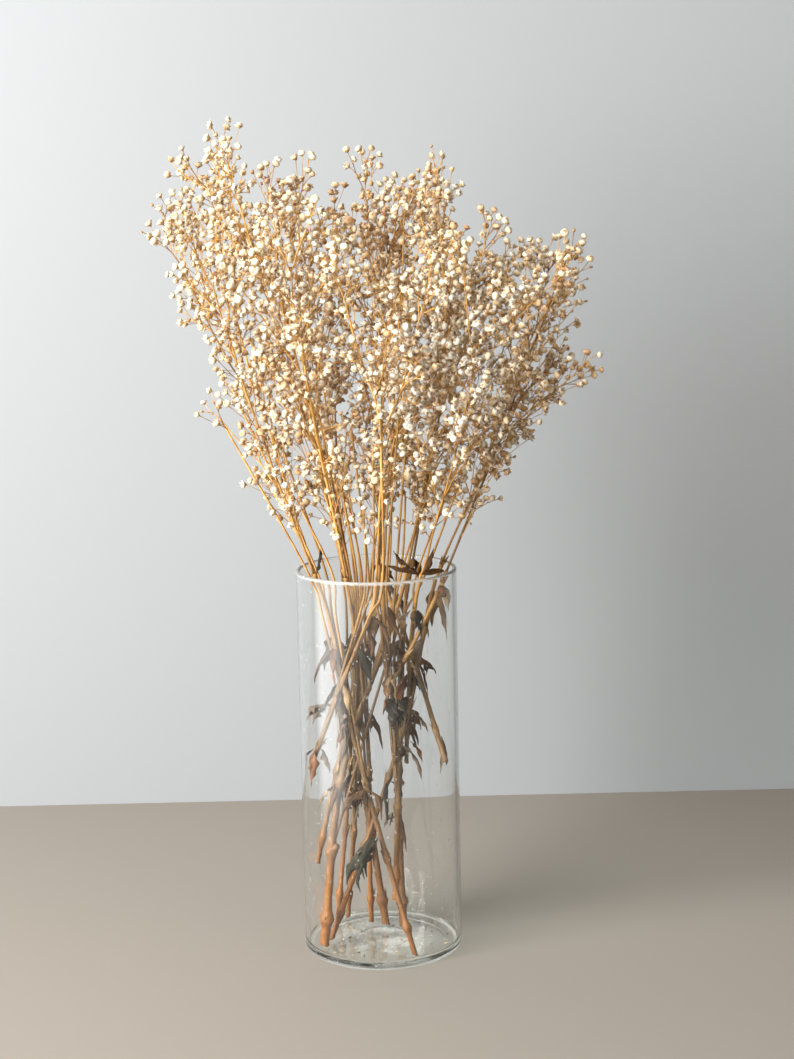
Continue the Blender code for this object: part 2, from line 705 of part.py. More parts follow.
def build_spray(stem, route, radii, crown, draw, collection, finish):
    """One stem, and its crown of twigs and blooms joined to it in one body."""
    rings = ring_stations(route)
    spray = add_object(stem.name, tube_mesh(stem.name, route[rings], radii[rings]), collection, finish)
    repeats = new_collection(stem.name + "_crown")
    add_object("crown", crown_mesh(crown, ROOT_SHARE * radii[-1], draw), repeats)
    join = spray.modifiers.new("Join", "BOOLEAN")
    join.operation = "UNION"
    join.operand_type = "COLLECTION"
    join.collection = repeats
    joined = bpy.data.meshes.new_from_object(spray.evaluated_get(bpy.context.evaluated_depsgraph_get()))
    spray.modifiers.remove(join)
    spray.data = joined
    keep_largest_body(joined)
    for obj in list(repeats.objects):
        bpy.data.objects.remove(obj)
    bpy.data.collections.remove(repeats)


# Leaves


def build_leaf(name, leaf, rib, collection, finish):
    """An arched blade, folded a little along its rib, bent round the rib from a flat four-sided bar."""
    bm = bmesh.new()
    bmesh.ops.create_cone(bm, cap_ends=True, segments=4, radius1=1, radius2=1, depth=1)
    long_edges = [edge for edge in bm.edges if abs(edge.verts[0].co.z - edge.verts[1].co.z) > 0.5]
    bmesh.ops.subdivide_edges(bm, edges=long_edges, cuts=LEAF_STATIONS - 2)
    half_widths = leaf_half_widths(leaf)
    ways = unit(np.gradient(rib, axis=0))
    sides = unit(np.cross(ways, (0, 0, 1)) + STEADY * np.cross(ways, (1, 0, 0)))
    faces_up = np.cross(sides, ways)
    for spot in bm.verts:
        at = round((spot.co.z + 0.5) * (LEAF_STATIONS - 1))
        across, through = spot.co.x, spot.co.y
        fold = LEAF_FOLD * half_widths[at] * (1 - abs(across))
        spot.co = (
            rib[at]
            + across * half_widths[at] * sides[at]
            + (through * LEAF_THICKNESS / 2 - fold) * faces_up[at]
        )
    bmesh.ops.triangulate(bm, faces=bm.faces)
    bmesh.ops.recalc_face_normals(bm, faces=bm.faces)
    add_object(name, mesh_from(bm, name), collection, finish)


def main():
    clear_scene()
    collection = new_collection("dried gypsophila in vase")
    glass = material("clear_glass", (0.93, 0.96, 0.95), 0.03, transmission=0.9)
    plant = material("dried_plant", (0.80, 0.66, 0.46), 0.85)
    dead_leaf = material("dried_leaf", (0.16, 0.10, 0.06), 0.80)
    build_vase(collection, glass)
    routes, radii = settled_routes()
    twigs = []
    for k, tufts in enumerate(scatter_tufts([route[-1] for route in routes])):
        crown = grow(routes[k][-1], tufts)
        build_spray(STEMS[k], routes[k], radii[k], crown, random.Random(PLAN_SEED + k), collection, plant)
        twigs += crown.and_shoots()
    for number, (leaf, rib) in enumerate(zip(LEAVES, place_leaves(routes, radii, twigs)), 1):
        build_leaf(f"leaf_{number:02d}", leaf, rib, collection, dead_leaf)


main()
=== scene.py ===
"""Dried gypsophila in a glass cylinder vase: the looks of the bunch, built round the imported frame.

It runs inside Blender. The plan of the bunch is worked out as the frame's own was, from the same driving
dimensions and seed, so each stem, fork, bloom and leaf lies where the frame's solids do.
"""

import functools
import itertools
import math
import random
from dataclasses import dataclass

import bmesh
import bpy
import numpy as np
from mathutils import Matrix, Quaternion, Vector


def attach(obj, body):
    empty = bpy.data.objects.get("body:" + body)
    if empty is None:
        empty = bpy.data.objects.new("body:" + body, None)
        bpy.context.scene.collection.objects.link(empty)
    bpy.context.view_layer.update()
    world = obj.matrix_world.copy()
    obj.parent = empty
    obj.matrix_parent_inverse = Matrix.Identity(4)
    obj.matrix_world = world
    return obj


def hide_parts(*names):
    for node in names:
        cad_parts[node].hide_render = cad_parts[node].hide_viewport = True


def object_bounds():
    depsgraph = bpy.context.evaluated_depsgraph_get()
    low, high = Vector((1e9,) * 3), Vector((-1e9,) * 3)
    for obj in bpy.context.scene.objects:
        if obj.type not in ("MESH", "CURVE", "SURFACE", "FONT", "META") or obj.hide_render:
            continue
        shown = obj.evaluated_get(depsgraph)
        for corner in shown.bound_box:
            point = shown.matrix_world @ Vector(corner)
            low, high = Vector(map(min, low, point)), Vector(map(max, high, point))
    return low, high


bl_info = {
    "name": "Dried gypsophila in a glass vase",
    "version": (1, 0, 0),
    "blender": (4, 5, 0),
    "location": "3D View > Sidebar > Gypsophila",
    "description": "Builds a bunch of dried gypsophila in its glass vase round the packed frame",
    "category": "Object",
}

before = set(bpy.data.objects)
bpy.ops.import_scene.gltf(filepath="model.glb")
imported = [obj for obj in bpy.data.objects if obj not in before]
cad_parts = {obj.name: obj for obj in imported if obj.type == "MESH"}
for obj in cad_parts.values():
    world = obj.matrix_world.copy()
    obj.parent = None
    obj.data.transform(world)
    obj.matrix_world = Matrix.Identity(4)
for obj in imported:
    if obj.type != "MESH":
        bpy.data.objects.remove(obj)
CAD_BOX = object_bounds()

# Vase
VASE_HEIGHT = 0.250
VASE_RADIUS = 0.051
WALL = 0.0026
FLOOR = 0.005
OUTER_CORNER = 0.0045
INNER_CORNER = 0.003
BORE = VASE_RADIUS - WALL

# Clearances
CLEAR = 0.0004
TOUCH = 0.0003
SETTLED_GAP = 0.00064
MERGE_DISTANCE = 1e-6

# Bunch: above the lip each stem keeps to its own slice of a cone whose tip is on the axis at APEX_Z
APEX_Z = 0.150
STATION = 0.003
SETTLE_ROUNDS = 160
SETTLE_PUSH = 0.55
BEND_LENGTH = 0.030
STEM_RADIUS_AT_LIP = 0.0012
TAPER_POWER = 0.8
KNUCKLE_SPACING = 0.045
FIRST_KNUCKLE = 0.018
KNUCKLE_SWELL = 0.30
KNUCKLE_LENGTH = 0.0035

# Cloud of blooms: its edges in the front plane, as height and side, and its top, as side and height
LEFT_EDGE = [
    (0.262, -0.046), (0.333, -0.084), (0.377, -0.099), (0.421, -0.112), (0.465, -0.128), (0.490, -0.121),
    (0.525, -0.108),
]
RIGHT_EDGE = [
    (0.262, 0.046), (0.318, 0.084), (0.348, 0.108), (0.376, 0.132), (0.428, 0.131), (0.456, 0.124),
    (0.525, 0.070),
]
TOP_EDGE = [
    (-0.130, 0.480), (-0.100, 0.515), (-0.087, 0.522), (-0.072, 0.488), (-0.041, 0.500), (-0.010, 0.488),
    (-0.001, 0.502), (0.013, 0.478), (0.030, 0.510), (0.046, 0.492), (0.058, 0.462), (0.093, 0.464),
    (0.122, 0.454), (0.135, 0.420),
]
LOWEST_TUFT = 0.282
DEPTH_SLOPE = 0.40
TOP_DROP = 0.045

# Tufts that make the tips of the photographed outline
EDGE_TUFTS = [
    (-0.117, 0.010, 0.500), (-0.088, -0.014, 0.517), (-0.062, 0.016, 0.492), (-0.040, -0.010, 0.494),
    (-0.002, 0.012, 0.499), (0.028, -0.008, 0.504), (0.044, 0.014, 0.491), (0.076, -0.018, 0.462),
    (0.097, 0.012, 0.457), (0.121, -0.010, 0.446), (0.126, 0.014, 0.420), (0.127, -0.016, 0.374),
    (0.108, 0.012, 0.350), (-0.125, -0.008, 0.464), (-0.110, 0.020, 0.424), (-0.094, -0.014, 0.384),
    (-0.102, -0.004, 0.351), (-0.086, 0.008, 0.356),
]
CLOUD_BOX = ((-0.135, 0.135), (-0.130, 0.130), (0.280, 0.530))
HEART_TOP = 0.42
HEART_SHARE = 0.5
HEART_THINNING = 0.6
TUFTS = 160
CANDIDATES = 14
OFFERS_TRIED = 8
SCATTER_ROUNDS = 220
TUFT_RADIUS = 0.0135
TUFT_FLORETS = (9, 19)
FLORET_DRAWS = 12
TOP_MARGIN = 0.0068
OUTWARD_PULL = 0.25
FLORET_SPACING = 0.0048
SLICE_MARGIN = 0.0042
PLAN_SEED = 7
LEAF_SEED = 100
CRUMB_SEED = 200
STRIP_SEED = 300

# Twigs fork where their first goal has to leave them
FORK_RATIO = 1.9
FORK_SHARES = (0.30, 0.86)
TIGHT_FORK = 0.3
SHORTEST_STEP = 0.0035
LEAST_FORK_ANGLE = math.radians(16)
BLOOM_ROOM = 0.0034
LAST_FORK = (0.5, 1.3)
CLEAR_SAMPLES = (0.0, 0.2, 0.4, 0.6, 0.8, 1.0)
SIDE_TRIES = 4
TWIG_RADIUS = 0.00015
TWIG_POWER = 0.42
TWIG_LEAST = 0.00042

# Leaves: the belly and tip powers shape the blade's outline
LEAF_THICKNESS = 0.0008
LEAF_STATIONS = 7
LEAF_TRIES = 24
LEAF_STALK = 0.14
LEAF_BELLY = 0.75
LEAF_FULLNESS = 0.8
LEAF_TIP_TAPER = 0.75
LEAF_TIP_POWER = 6
GLASS_REACH = 0.254

# The frame's stems have a ring of points at every RING_EVERY-th station, and leaves root at these
RING_EVERY = 5

# What a piece's mesh carries for its finish: its colours, and a blade's own coordinates
TINT = "tint"
BLADE_UV = "blade"

# Patterns of the finishes: how far each is stretched along the axes, its scale and its detail
PATTERNS = {
    "fibres": ((1, 1, 0.06), 2600, 3.0),
    "blotches": ((1, 1, 0.35), 170, 3.0),
    "flecks": ((1, 1, 0.5), 700, 2.0),
    "creases": ((1, 1, 1), 2200, 2.0),
    "petal_stains": ((1, 1, 1), 420, 1.0),
    "mottle": ((1, 1, 1), 330, 4.0),
    "film": ((1, 1, 0.3), 26, 4.0),
    "specks": ((1, 1, 1), 620, 0.0),
    "dried_water": ((1, 1, 1), 90, 3.0),
}

# How a pattern shows: the values where it starts and where it is full, then its least and its full share
BLOTCHES = (0.42, 0.66, 0.0, 0.85)
FIBRES = (0.35, 0.7, 0.0, 0.15)
FLECKS = (0.62, 0.72, 0.0, 0.6)
PETAL_STAINS = (0.5, 0.75, 0.0, 0.35)
CREASES = (0.35, 0.65, 0.0, 0.12)
MOTTLE = (0.45, 0.7, 0.0, 0.6)
FILM = (0.4, 0.8, 0.001, 0.011)
SPECKS = (0.81, 0.83, 0.0, 0.35)
DRIED_WATER = (0.40, 0.66, 0.0, 0.32)
STEM_ROUGHNESS = (0.3, 0.7, 0.5, 0.72)
LEAF_ROUGHNESS = (0.3, 0.7, 0.6, 0.85)
PETAL_ROUGHNESS = 0.85
PETAL_SHEEN = 0.15
LEAF_SPECULAR = 0.25

# Bumps: strength, and depth in metres
STEM_BUMP = (0.5, 0.0004)
PETAL_BUMP = (0.8, 0.0005)
LEAF_BUMP = (0.6, 0.0005)

# Veins of a leaf, across it in half widths and along it in lengths
RIB_WIDTH = 0.14
VEINS_ALONG = 95.0
VEIN_SLANT = 0.18
VEIN_EDGE = 0.7
VEIN_SHARE = 0.6

# Colours that patterns bring in, and tints that multiply a mesh's own colour
DULL_TINT = (0.55, 0.48, 0.45, 1)
FIBRE_COLOUR = (0.62, 0.38, 0.14, 1)
FLECK_COLOUR = (0.09, 0.040, 0.014, 1)
STAINED_PETAL = (0.52, 0.33, 0.15, 1)
CREASE_COLOUR = (1.0, 0.94, 0.80, 1)
WORN_LEAF_TINT = (1.9, 1.7, 1.4, 1)
# Whitish colour of the glass's dust and wear, and of the painted highlight on its rim
DUST_AND_HIGHLIGHT_COLOUR = (0.80, 0.80, 0.77, 1)
CLEAR_COLOUR = (0.96, 0.98, 0.97, 1)

# Twigs and stems at their true thinness
FINE_STEP = 0.0012
PEDICEL_RADIUS = 0.00018
FINE_POWER = 0.31
STALK_SWELL = 1.5
BOW_SPAN = 0.007
BOW = 0.018
MOST_BOWS = 5
SKIN_UNEVEN = 0.05
ROUNDNESS = {"stem": 3, "branch": 1, "pedicel": 0}
BRANCH_LOAD = 3
FOOT_COLOUR = (0.27, 0.088, 0.010)
MIDDLE_COLOUR = (0.140, 0.072, 0.022)
STRAW_COLOUR = (0.50, 0.255, 0.060)
GOLD_COLOUR = (0.67, 0.36, 0.080)
FOOT_FADE = (0.03, 0.12)
STRAW_FADE = (0.17, 0.25)
GOLD_FADE = (0.24, 0.32)
STEM_SHADES = {
    "spray_back_right": 0.42,
    "spray_left_back": 0.66,
    "spray_mid_back": 1.0,
    "spray_right_back": 0.8,
}
OTHER_STEM_SHADES = (0.6, 1.1)
STALK_SHADES = (0.55, 1.1)
TWIG_SHADES = {1.05: 0.50, 0.75: 0.34, 0.32: 0.16}
LOW_SWELL = 0.32
LOW_KNUCKLES = 0.13

# The cut foot of a stem: its slant, then its height, its rim and what is near enough to cut, in stem radii
CUT_SLANT = 0.5
CUT_HEIGHT = 0.55
CUT_RIM = 0.18
CUT_NEAR = (4, 6)
CUT_COLOUR = (0.80, 0.66, 0.44)

# Second stalks: thinner ones that leave a knuckle and rise beside their stem into the crown
STALKS_PER_STEM = 1
LIP_CROSSINGS = [
    (-0.032, -0.008), (-0.027, -0.024), (-0.014, -0.014), (-0.012, -0.030), (-0.0105, 0.004),
    (-0.009, -0.022), (-0.0065, -0.034), (-0.005, -0.008), (-0.002, -0.028), (0.0065, -0.030),
    (0.0125, -0.020), (0.0165, 0.012), (0.032, -0.012), (-0.016, -0.028),
]
STALK_STARTS = (0.06, 0.15)
STALK_ENDS = (0.275, 0.36)
STALK_BULGE = (0.003, 0.008)
STALK_SIZES = (0.0010, 0.00062)
STALK_CHOICE = 0.004

# Side twigs that fill the thin places between the plan's tufts
FILLERS = {(0.007, 0.018, 1.0): 415, (0.022, 0.060, 0.28): 205}
FILLER_OFFERS = 8
CLUSTER_OFFERS = 60
CLUSTER_FILLERS = 34
LOWEST_ROOT = 0.262
FILLER_SPREAD = 0.0042
FILLER_FLORETS = (3, 7)
FILLER_LOAD = 3
FILLER_ROOT = (0.3, 0.8)
CROWD_REACH = 0.010
SIGHT_REACH = 0.005
BOX_MARGIN = 0.002

# Scales, for sheaths and crumbs, as shares of their length
SCALE_THICKNESS = 0.05
SCALE_WIDTH = 0.22
SCALE_BEND = 0.12
SCALE_TIP = 0.25
SCALE_BULGE = 0.5

# Bracts, sheaths and stubs
BRACT_LENGTH = 0.0015
BRACT_SIZES = (0.7, 1.2)
BRACT_SPREADS = (0.0, 0.5)
BRACT_SHADES = (0.6, 1.4)
BRACT_LOAD = 60
BRACT_COLOUR = (0.40, 0.24, 0.10)
SHEATH_LENGTH = (0.003, 0.0075)
SHEATH_LEAN = (0.05, 0.30)
SHEATH_LOST = 0.25
SHEATH_REACH = 0.9
SHEATH_SHADES = (0.5, 1.3)
STUB_LENGTH = (0.0012, 0.004)
STUB_RISE = (0.5, 1.2)
STUB_TAPER = (0.75, 0.6, 0.5)
STUB_SHARE = 0.4
STUB_MARGIN = 0.002

# Blooms: how many petals, the heart's height and the rings. Each ring has its reach and rise at the petals'
# tips, the same at the notches, all in millimetres, whether the tips are the odd corners, and its colour
MM = 0.001
STALK_RADIUS = 0.0003
RAGGED = 0.13
CALYX = (0.34, 0.20, 0.07)
PETAL = (0.84, 0.65, 0.38)
# Painted highlight: the petal colour made paler for the crests and tips of the petals
PETAL_PAINTED_HIGHLIGHT = (0.95, 0.83, 0.61)
# Painted shade: the petal colour made darker for the lower and innermost rings of petals
PETAL_PAINTED_SHADE = (0.54, 0.32, 0.115)
HEART = (0.26, 0.115, 0.035)
# The ring colours paint light and shade on each bloom: painted highlight on crests and tips, painted shade on
# the lower and innermost rings
BLOOMS = {
    "open": (5, 3.9, [
        (0.95, 0.8, 0.9, 0.8, 0, CALYX),
        (2.3, 1.9, 1.4, 1.7, 0, PETAL_PAINTED_SHADE),
        (2.9, 2.8, 1.6, 2.3, 0, PETAL_PAINTED_HIGHLIGHT),
        (1.6, 3.0, 1.3, 2.7, 1, PETAL),
        (2.0, 4.0, 1.1, 3.4, 1, PETAL_PAINTED_HIGHLIGHT),
        (0.8, 3.6, 0.7, 3.5, 0, HEART),
    ]),
    "ball": (5, 3.9, [
        (1.2, 0.7, 1.1, 0.7, 0, CALYX),
        (2.3, 1.7, 2.0, 1.6, 0, PETAL),
        (2.6, 2.9, 2.1, 2.7, 1, PETAL_PAINTED_HIGHLIGHT),
        (1.8, 4.1, 1.4, 3.7, 0, PETAL_PAINTED_HIGHLIGHT),
        (0.7, 4.3, 0.6, 4.1, 1, PETAL_PAINTED_SHADE),
    ]),
    "withered": (4, 2.6, [
        (1.0, 0.7, 0.9, 0.7, 0, CALYX),
        (1.8, 1.8, 1.2, 1.6, 0, PETAL_PAINTED_SHADE),
        (2.0, 3.0, 1.0, 2.5, 0, PETAL),
        (0.6, 2.9, 0.5, 2.8, 0, HEART),
    ]),
    "bud": (3, 2.6, [
        (0.85, 0.6, 0.85, 0.6, 0, CALYX),
        (1.05, 1.5, 0.95, 1.5, 0, PETAL_PAINTED_SHADE),
        (0.6, 2.3, 0.45, 2.3, 0, HEART),
    ]),
}
BLOOM_SHARES = {"open": 0.46, "ball": 0.26, "withered": 0.12, "bud": 0.16}
BLOOM_SIZES = {"open": (0.82, 1.10), "ball": (0.80, 1.10), "withered": (0.8, 1.0), "bud": (0.7, 1.05)}
VARIANTS = 4
NOD = 0.45
BLOOM_SINK = 0.0012

# Tones: 1 is a bloom at its palest and -1 at its brownest. A spot has its centre, and how far it reaches
TONE_RUN = 12
RUN_TONE = (0.0, 0.40)
OWN_TONE = (0, 0.22)
PALE_TINT = (1.06, 1.18, 1.48)
BROWN_TINT = (0.68, 0.46, 0.27)
PALEST = 0.96
PALE_SPOTS = [
    ((0.034, -0.060, 0.398), 0.030), ((0.018, -0.055, 0.352), 0.022), ((0.062, -0.035, 0.375), 0.020),
    ((0.060, -0.010, 0.430), 0.022),
]
BROWN_SPOTS = [((-0.022, 0.0, 0.415), 0.045), ((0.04, 0.0, 0.33), 0.030)]
SPOT_TONES = {1.2: PALE_SPOTS, -0.5: BROWN_SPOTS}

# Leaves: the faces along and across a blade, its wall, its roll and its twist
LEAF_ALONG = 28
LEAF_ACROSS = 8
LEAF_WALL = 0.00025
BLADE_ROLL = (1.2, 2.8)
LEAST_ROLL = 0.4
BLADE_TWIST = (-2.0, 2.0)
TWIST_POWER = 1.5
SIDE_LEAN = 0.02
BLADE_SHADES = (0.7, 1.4)

# Waves of a blade: strength, turns along it and across it, and the number of its phase
WAVES = {
    "waver": (0.4, 6, 0, 0),
    "edge": (0.22, 9, 0, 0),
    "nicks": (0.12, 23, 3, 1),
    "frill": (0.28, 15, 1, 1),
    "crumple": (0.16, 19, 8, 2),
    "tone": (0.25, 7, 0, 3),
}

# Torn shreds of a leaf
SHRED_SIZE = (0.6, 1.1)
SHRED_WIDTH = 0.6
SHRED_TURN = (12, 60)
LEAF_COLOURS = {
    "umber": (0.065, 0.032, 0.014),
    "black": (0.012, 0.010, 0.007),
    "grey": (0.13, 0.10, 0.075),
    "pale": (0.21, 0.14, 0.08),
    "rust": (0.16, 0.065, 0.026),
    "green": (0.023, 0.021, 0.012),
}

# Each leaf's colour and its number of shreds
LEAF_LOOKS = [
    ("umber", 0), ("umber", 0), ("umber", 0), ("black", 0), ("pale", 1), ("pale", 1),
    ("umber", 2), ("umber", 2), ("umber", 1), ("black", 5), ("black", 4), ("umber", 3),
    ("grey", 3), ("grey", 1), ("green", 5), ("umber", 3), ("rust", 1), ("grey", 1),
]

# Withered strips that hang from the knuckles: faces, heights of their knuckles, sizes and colours
STRIP_ALONG = 9
STRIP_ACROSS = 3
STRIP_HEIGHTS = (0.085, 0.248)
STRIPS_PER_KNUCKLE = (2, 5)
STRIP_LENGTH = (0.010, 0.030)
STRIP_WIDTH = (0.0030, 0.0085)
STRIP_DROOP = (-85, -20)
STRIP_FALL = (-105, -85)
STRIP_CURL = (-60, 60)
STRIP_SHARES = {"umber": 0.42, "black": 0.20, "grey": 0.16, "pale": 0.12, "rust": 0.10}

# Vase: the hollow under its floor, the ring in its floor, and loops that keep the shading of its walls flat
HOLLOW_EDGE = 0.010
HOLLOW_SLOPE = 0.0025
HOLLOW_RISE = 0.0005
HOLLOW_DEPTH = 0.0006
RING_RADIUS = 0.017
RING_WIDTH = 0.0024
RING_RISE = 0.0004
RING_EDGE = 0.0001
LOOP_GAP = 0.0008

# Points on the round parts of the vase's section
RIM_POINTS = 9
HEEL_POINTS = 8
CORNER_POINTS = 6

# Wear of the glass: a scuffed heel and the mark of dried water on the floor; and a painted highlight, a bright
# band along the top of the rim
HEEL_WEAR = 0.32
HEEL_HEIGHTS = (0.0010, 0.0035)
HEEL_REACHES = (0.0450, 0.0485)
RIM_PAINTED_HIGHLIGHT = 0.20
MARK_REACH = 0.038
MARK_HEIGHTS = (0.006, 0.0055)

# Crumbs on the vase's floor
CRUMBS = 150
CRUMB_SIZE = (0.0009, 0.0034)
CRUMB_LIFT = 0.0007
CRUMB_TILT = 0.15
CRUMB_MARGIN = 0.005
CRUMB_GAP = 0.002
CRUMB_SHADES = (0.15, 0.9)
PETAL_CRUMBS = 0.3

# Stage. The card is seen only as the window's reflection: its glow fades from its middle to its sides,
# and from its upper half down
FLOOR_SIZE = (3.4, 3.4)
BACKDROP_SIZE = (2.0, 3.0)
BACKDROP_AT = 0.32
CARD_AT = (-0.155, -0.073, 0.13)
CARD_SIZE = (0.19, 0.36)
CARD_TURN = -60
CARD_SIDES = (0.15, 0.5)
CARD_LOWER = (-0.38, -0.02)
CARD_COLOUR = (1.0, 0.99, 0.97, 1)
SURROUND_COLOUR = (0.92, 0.92, 0.90, 1)

# Lights: width, height, place, what they point at and colour
WINDOW_LIGHT = (1.1, 1.5, (-1.1, -0.9, 0.85), (0, 0, 0.32), (1.0, 0.98, 0.95))
ROOM_LIGHT = (1.4, 1.4, (1.6, -1.0, 1.1), (0, 0, 0.3), (1.0, 0.90, 0.78))

# Camera: its place, its turns in degrees, and its lens and sensor in millimetres
CAMERA_AT = (0.0, -1.2508, 0.4835)
CAMERA_PITCH = 9.504
CAMERA_YAW = 0.63
CAMERA_ROLL = -1.099
CAMERA_LENS = 68.22
CAMERA_SENSOR = 36.0


@dataclass
class Stem:
    """A cut stem: its cut end, where it passes through the bunch and where it crosses the lip."""

    name: str
    foot: tuple
    waist: tuple
    lip: tuple
    radius: float
    stands: bool = True


STEMS = [
    Stem("spray_left_back", (0.002, 0.015), (-0.020, 0.022, 0.150), (-0.042, 0.016), 0.0026),
    Stem("spray_left_front", (0.0195, -0.0385), (-0.014, -0.022, 0.135), (-0.039, -0.017), 0.0018),
    Stem("spray_mid_left", (-0.008, 0.022), (-0.009, 0.006, 0.160), (-0.021, -0.002), 0.0017),
    Stem("spray_front", (-0.0445, -0.0145, 0.122), (-0.024, -0.026, 0.178), (0, -0.042), 0.0015, False),
    Stem("spray_right_front", (0.0085, -0.0168, 0.18), (0.02, -0.022, 0.201), (0.0445, -0.015), 0.0015, False),
    Stem("spray_right_back", (-0.034, -0.006), (0.017, -0.004, 0.150), (0.043, 0.016), 0.0019),
    Stem("spray_back", (0.041, -0.0215, 0.127), (0.026, 0.012, 0.179), (0.004, 0.042), 0.0017, False),
    Stem("spray_mid_right", (0.017, 0.004, 0.120), (0.019, 0.002, 0.165), (0.028, -0.026), 0.0014, False),
    Stem("spray_centre", (0.008, -0.014, 0.033), (0.011, -0.014, 0.130), (0.004, -0.018), 0.0021, False),
    Stem("spray_back_right", (0.013, 0.013), (0.012, 0.014, 0.110), (0.024, 0.024), 0.0027),
    Stem("spray_heart", (-0.0435, 0.0165, 0.050), (-0.020, 0.012, 0.150), (0.002, 0.010), 0.0019, False),
    Stem("spray_mid_back", (-0.038, -0.017), (-0.024, -0.012, 0.120), (0.020, 0.000), 0.0031),
    Stem("spray_back_left", (-0.031, 0.030), (-0.020, 0.028, 0.120), (-0.020, 0.032), 0.0017),
    Stem("spray_front_left", (-0.024, 0.033), (-0.014, 0.004, 0.140), (-0.019, -0.032), 0.0016),
]

SLOPES = np.array([stem.lip for stem in STEMS]) / (VASE_HEIGHT - APEX_Z)


@dataclass
class Leaf:
    """A dried leaf: the stem and height that it grows at, its way out, how it bends, and its size."""

    stem: int
    height: float
    azimuth: float
    rise: tuple
    length: float
    width: float
    curl: float = 0.0


LEAVES = [
    Leaf(4, 0.2490, 196, (4, 14), 0.040, 0.0062, -12),
    Leaf(7, 0.2500, 168, (40, 52), 0.022, 0.0042, 10),
    Leaf(7, 0.2495, 20, (66, 60), 0.017, 0.0046, -10),
    Leaf(1, 0.2440, 30, (84, 72), 0.018, 0.0032, 20),
    Leaf(5, 0.2400, -50, (-50, -88), 0.030, 0.0085, 20),
    Leaf(5, 0.2250, -10, (-40, -96), 0.034, 0.0045, -30),
    Leaf(6, 0.2240, 200, (-30, -100), 0.026, 0.0052, 30),
    Leaf(8, 0.2180, -80, (-55, -95), 0.032, 0.0055, -20),
    Leaf(6, 0.1850, -20, (-10, -80), 0.018, 0.0050, 60),
    Leaf(8, 0.1620, -100, (-10, -110), 0.026, 0.0085, 50),
    Leaf(7, 0.1600, -20, (-30, -120), 0.022, 0.0075, -60),
    Leaf(9, 0.1520, 20, (-20, -95), 0.024, 0.0070, 40),
    Leaf(3, 0.1600, 190, (-5, -95), 0.024, 0.0075, 40),
    Leaf(1, 0.1650, -120, (-60, -88), 0.030, 0.0045, 15),
    Leaf(1, 0.0840, -150, (-20, -98), 0.038, 0.0095, 30),
    Leaf(1, 0.1160, 200, (-10, -105), 0.024, 0.0085, -50),
    Leaf(11, 0.1050, 60, (-40, -92), 0.020, 0.0075, 30),
    Leaf(0, 0.2050, 150, (-20, -85), 0.022, 0.0050, -30),
]


# Plan of the bunch, worked out from the values above


def unit(vectors):
    """The vector, or each row of an array of them, at length one."""
    return vectors / np.linalg.norm(vectors, axis=-1, keepdims=True)


def first_route(stem, slope):
    """Stations up the stem from its cut end to the lip, on a smooth curve through the waist."""
    lip = np.array([*stem.lip, VASE_HEIGHT])
    waist = np.array(stem.waist)
    if stem.stands:
        lean = math.hypot(*(waist[:2] - stem.foot)) / waist[2]
        foot = np.array([*stem.foot, FLOOR + CLEAR + stem.radius * lean])
    else:
        foot = np.array(stem.foot)
    knots = np.array([foot, waist, lip])
    rises = np.diff(knots[:, 2])
    chords = np.diff(knots[:, :2], axis=0) / rises[:, None]
    tangents = np.array([chords[0], (chords[0] + chords[1]) / 2, slope])
    heights = np.linspace(foot[2], lip[2], round((lip[2] - foot[2]) / STATION) + 1)
    piece = np.clip(np.searchsorted(knots[:, 2], heights, side="right") - 1, 0, 1)
    t = ((heights - knots[piece, 2]) / rises[piece])[:, None]
    rise = rises[piece][:, None]
    sideways = (
        (1 + 2 * t) * (1 - t) ** 2 * knots[piece, :2]
        + t * (1 - t) ** 2 * rise * tangents[piece]
        + t**2 * (3 - 2 * t) * knots[piece + 1, :2]
        + t**2 * (t - 1) * rise * tangents[piece + 1]
    )
    return np.column_stack([sideways, heights])


def stem_radii(stem, route):
    """Radius at each station: it tapers to the lip, and swells at each knuckle."""
    share = (route[:, 2] - route[0, 2]) / (route[-1, 2] - route[0, 2])
    taper = stem.radius + (STEM_RADIUS_AT_LIP - stem.radius) * share**TAPER_POWER
    past_middle = route[:, 2] - route[0, 2] - FIRST_KNUCKLE + KNUCKLE_SPACING / 2
    from_knuckle = np.abs(past_middle % KNUCKLE_SPACING - KNUCKLE_SPACING / 2)
    return taper * (1 + KNUCKLE_SWELL * np.exp(-((from_knuckle / KNUCKLE_LENGTH) ** 2)))


def keep_in_bore(route, radii):
    """Moves stations inwards that come too near the glass."""
    limit = np.where(route[:, 2] < FLOOR + 2 * INNER_CORNER, BORE - INNER_CORNER, BORE) - radii - CLEAR
    reach = np.linalg.norm(route[:, :2], axis=1)
    route[:, :2] *= np.minimum(1, limit / reach)[:, None]


def settled_routes():
    """The stems' routes, pressed apart sideways until no two touch, as they lie in a bunch."""
    routes = [first_route(stem, slope) for stem, slope in zip(STEMS, SLOPES)]
    radii = [stem_radii(stem, route) for stem, route in zip(STEMS, routes)]
    for _ in range(SETTLE_ROUNDS):
        shoves = [np.zeros_like(route) for route in routes]
        for i, j in itertools.combinations(range(len(routes)), 2):
            between = routes[i][:, None] - routes[j][None]
            distance = np.linalg.norm(between, axis=2)
            short = radii[i][:, None] + radii[j][None] + SETTLED_GAP - distance
            a, b = np.unravel_index(short.argmax(), short.shape)
            if short[a, b] <= 0:
                continue
            way = between[a, b] * (1, 1, 0)
            way *= SETTLE_PUSH * short[a, b] / np.linalg.norm(way)
            for shove, route, at, sign in ((shoves[i], routes[i], a, 1), (shoves[j], routes[j], b, -1)):
                share = np.exp(-(((route[:, 2] - route[at, 2]) / BEND_LENGTH) ** 2))
                shove += sign * share[:, None] * way
        for route, shove, radius in zip(routes, shoves, radii):
            route += shove
            keep_in_bore(route, radius)
    return routes, radii


def slice_of(point):
    """The number of the stem whose slice the point is in."""
    return int(np.linalg.norm(SLOPES - point[:2] / (point[2] - APEX_Z), axis=1).argmin())


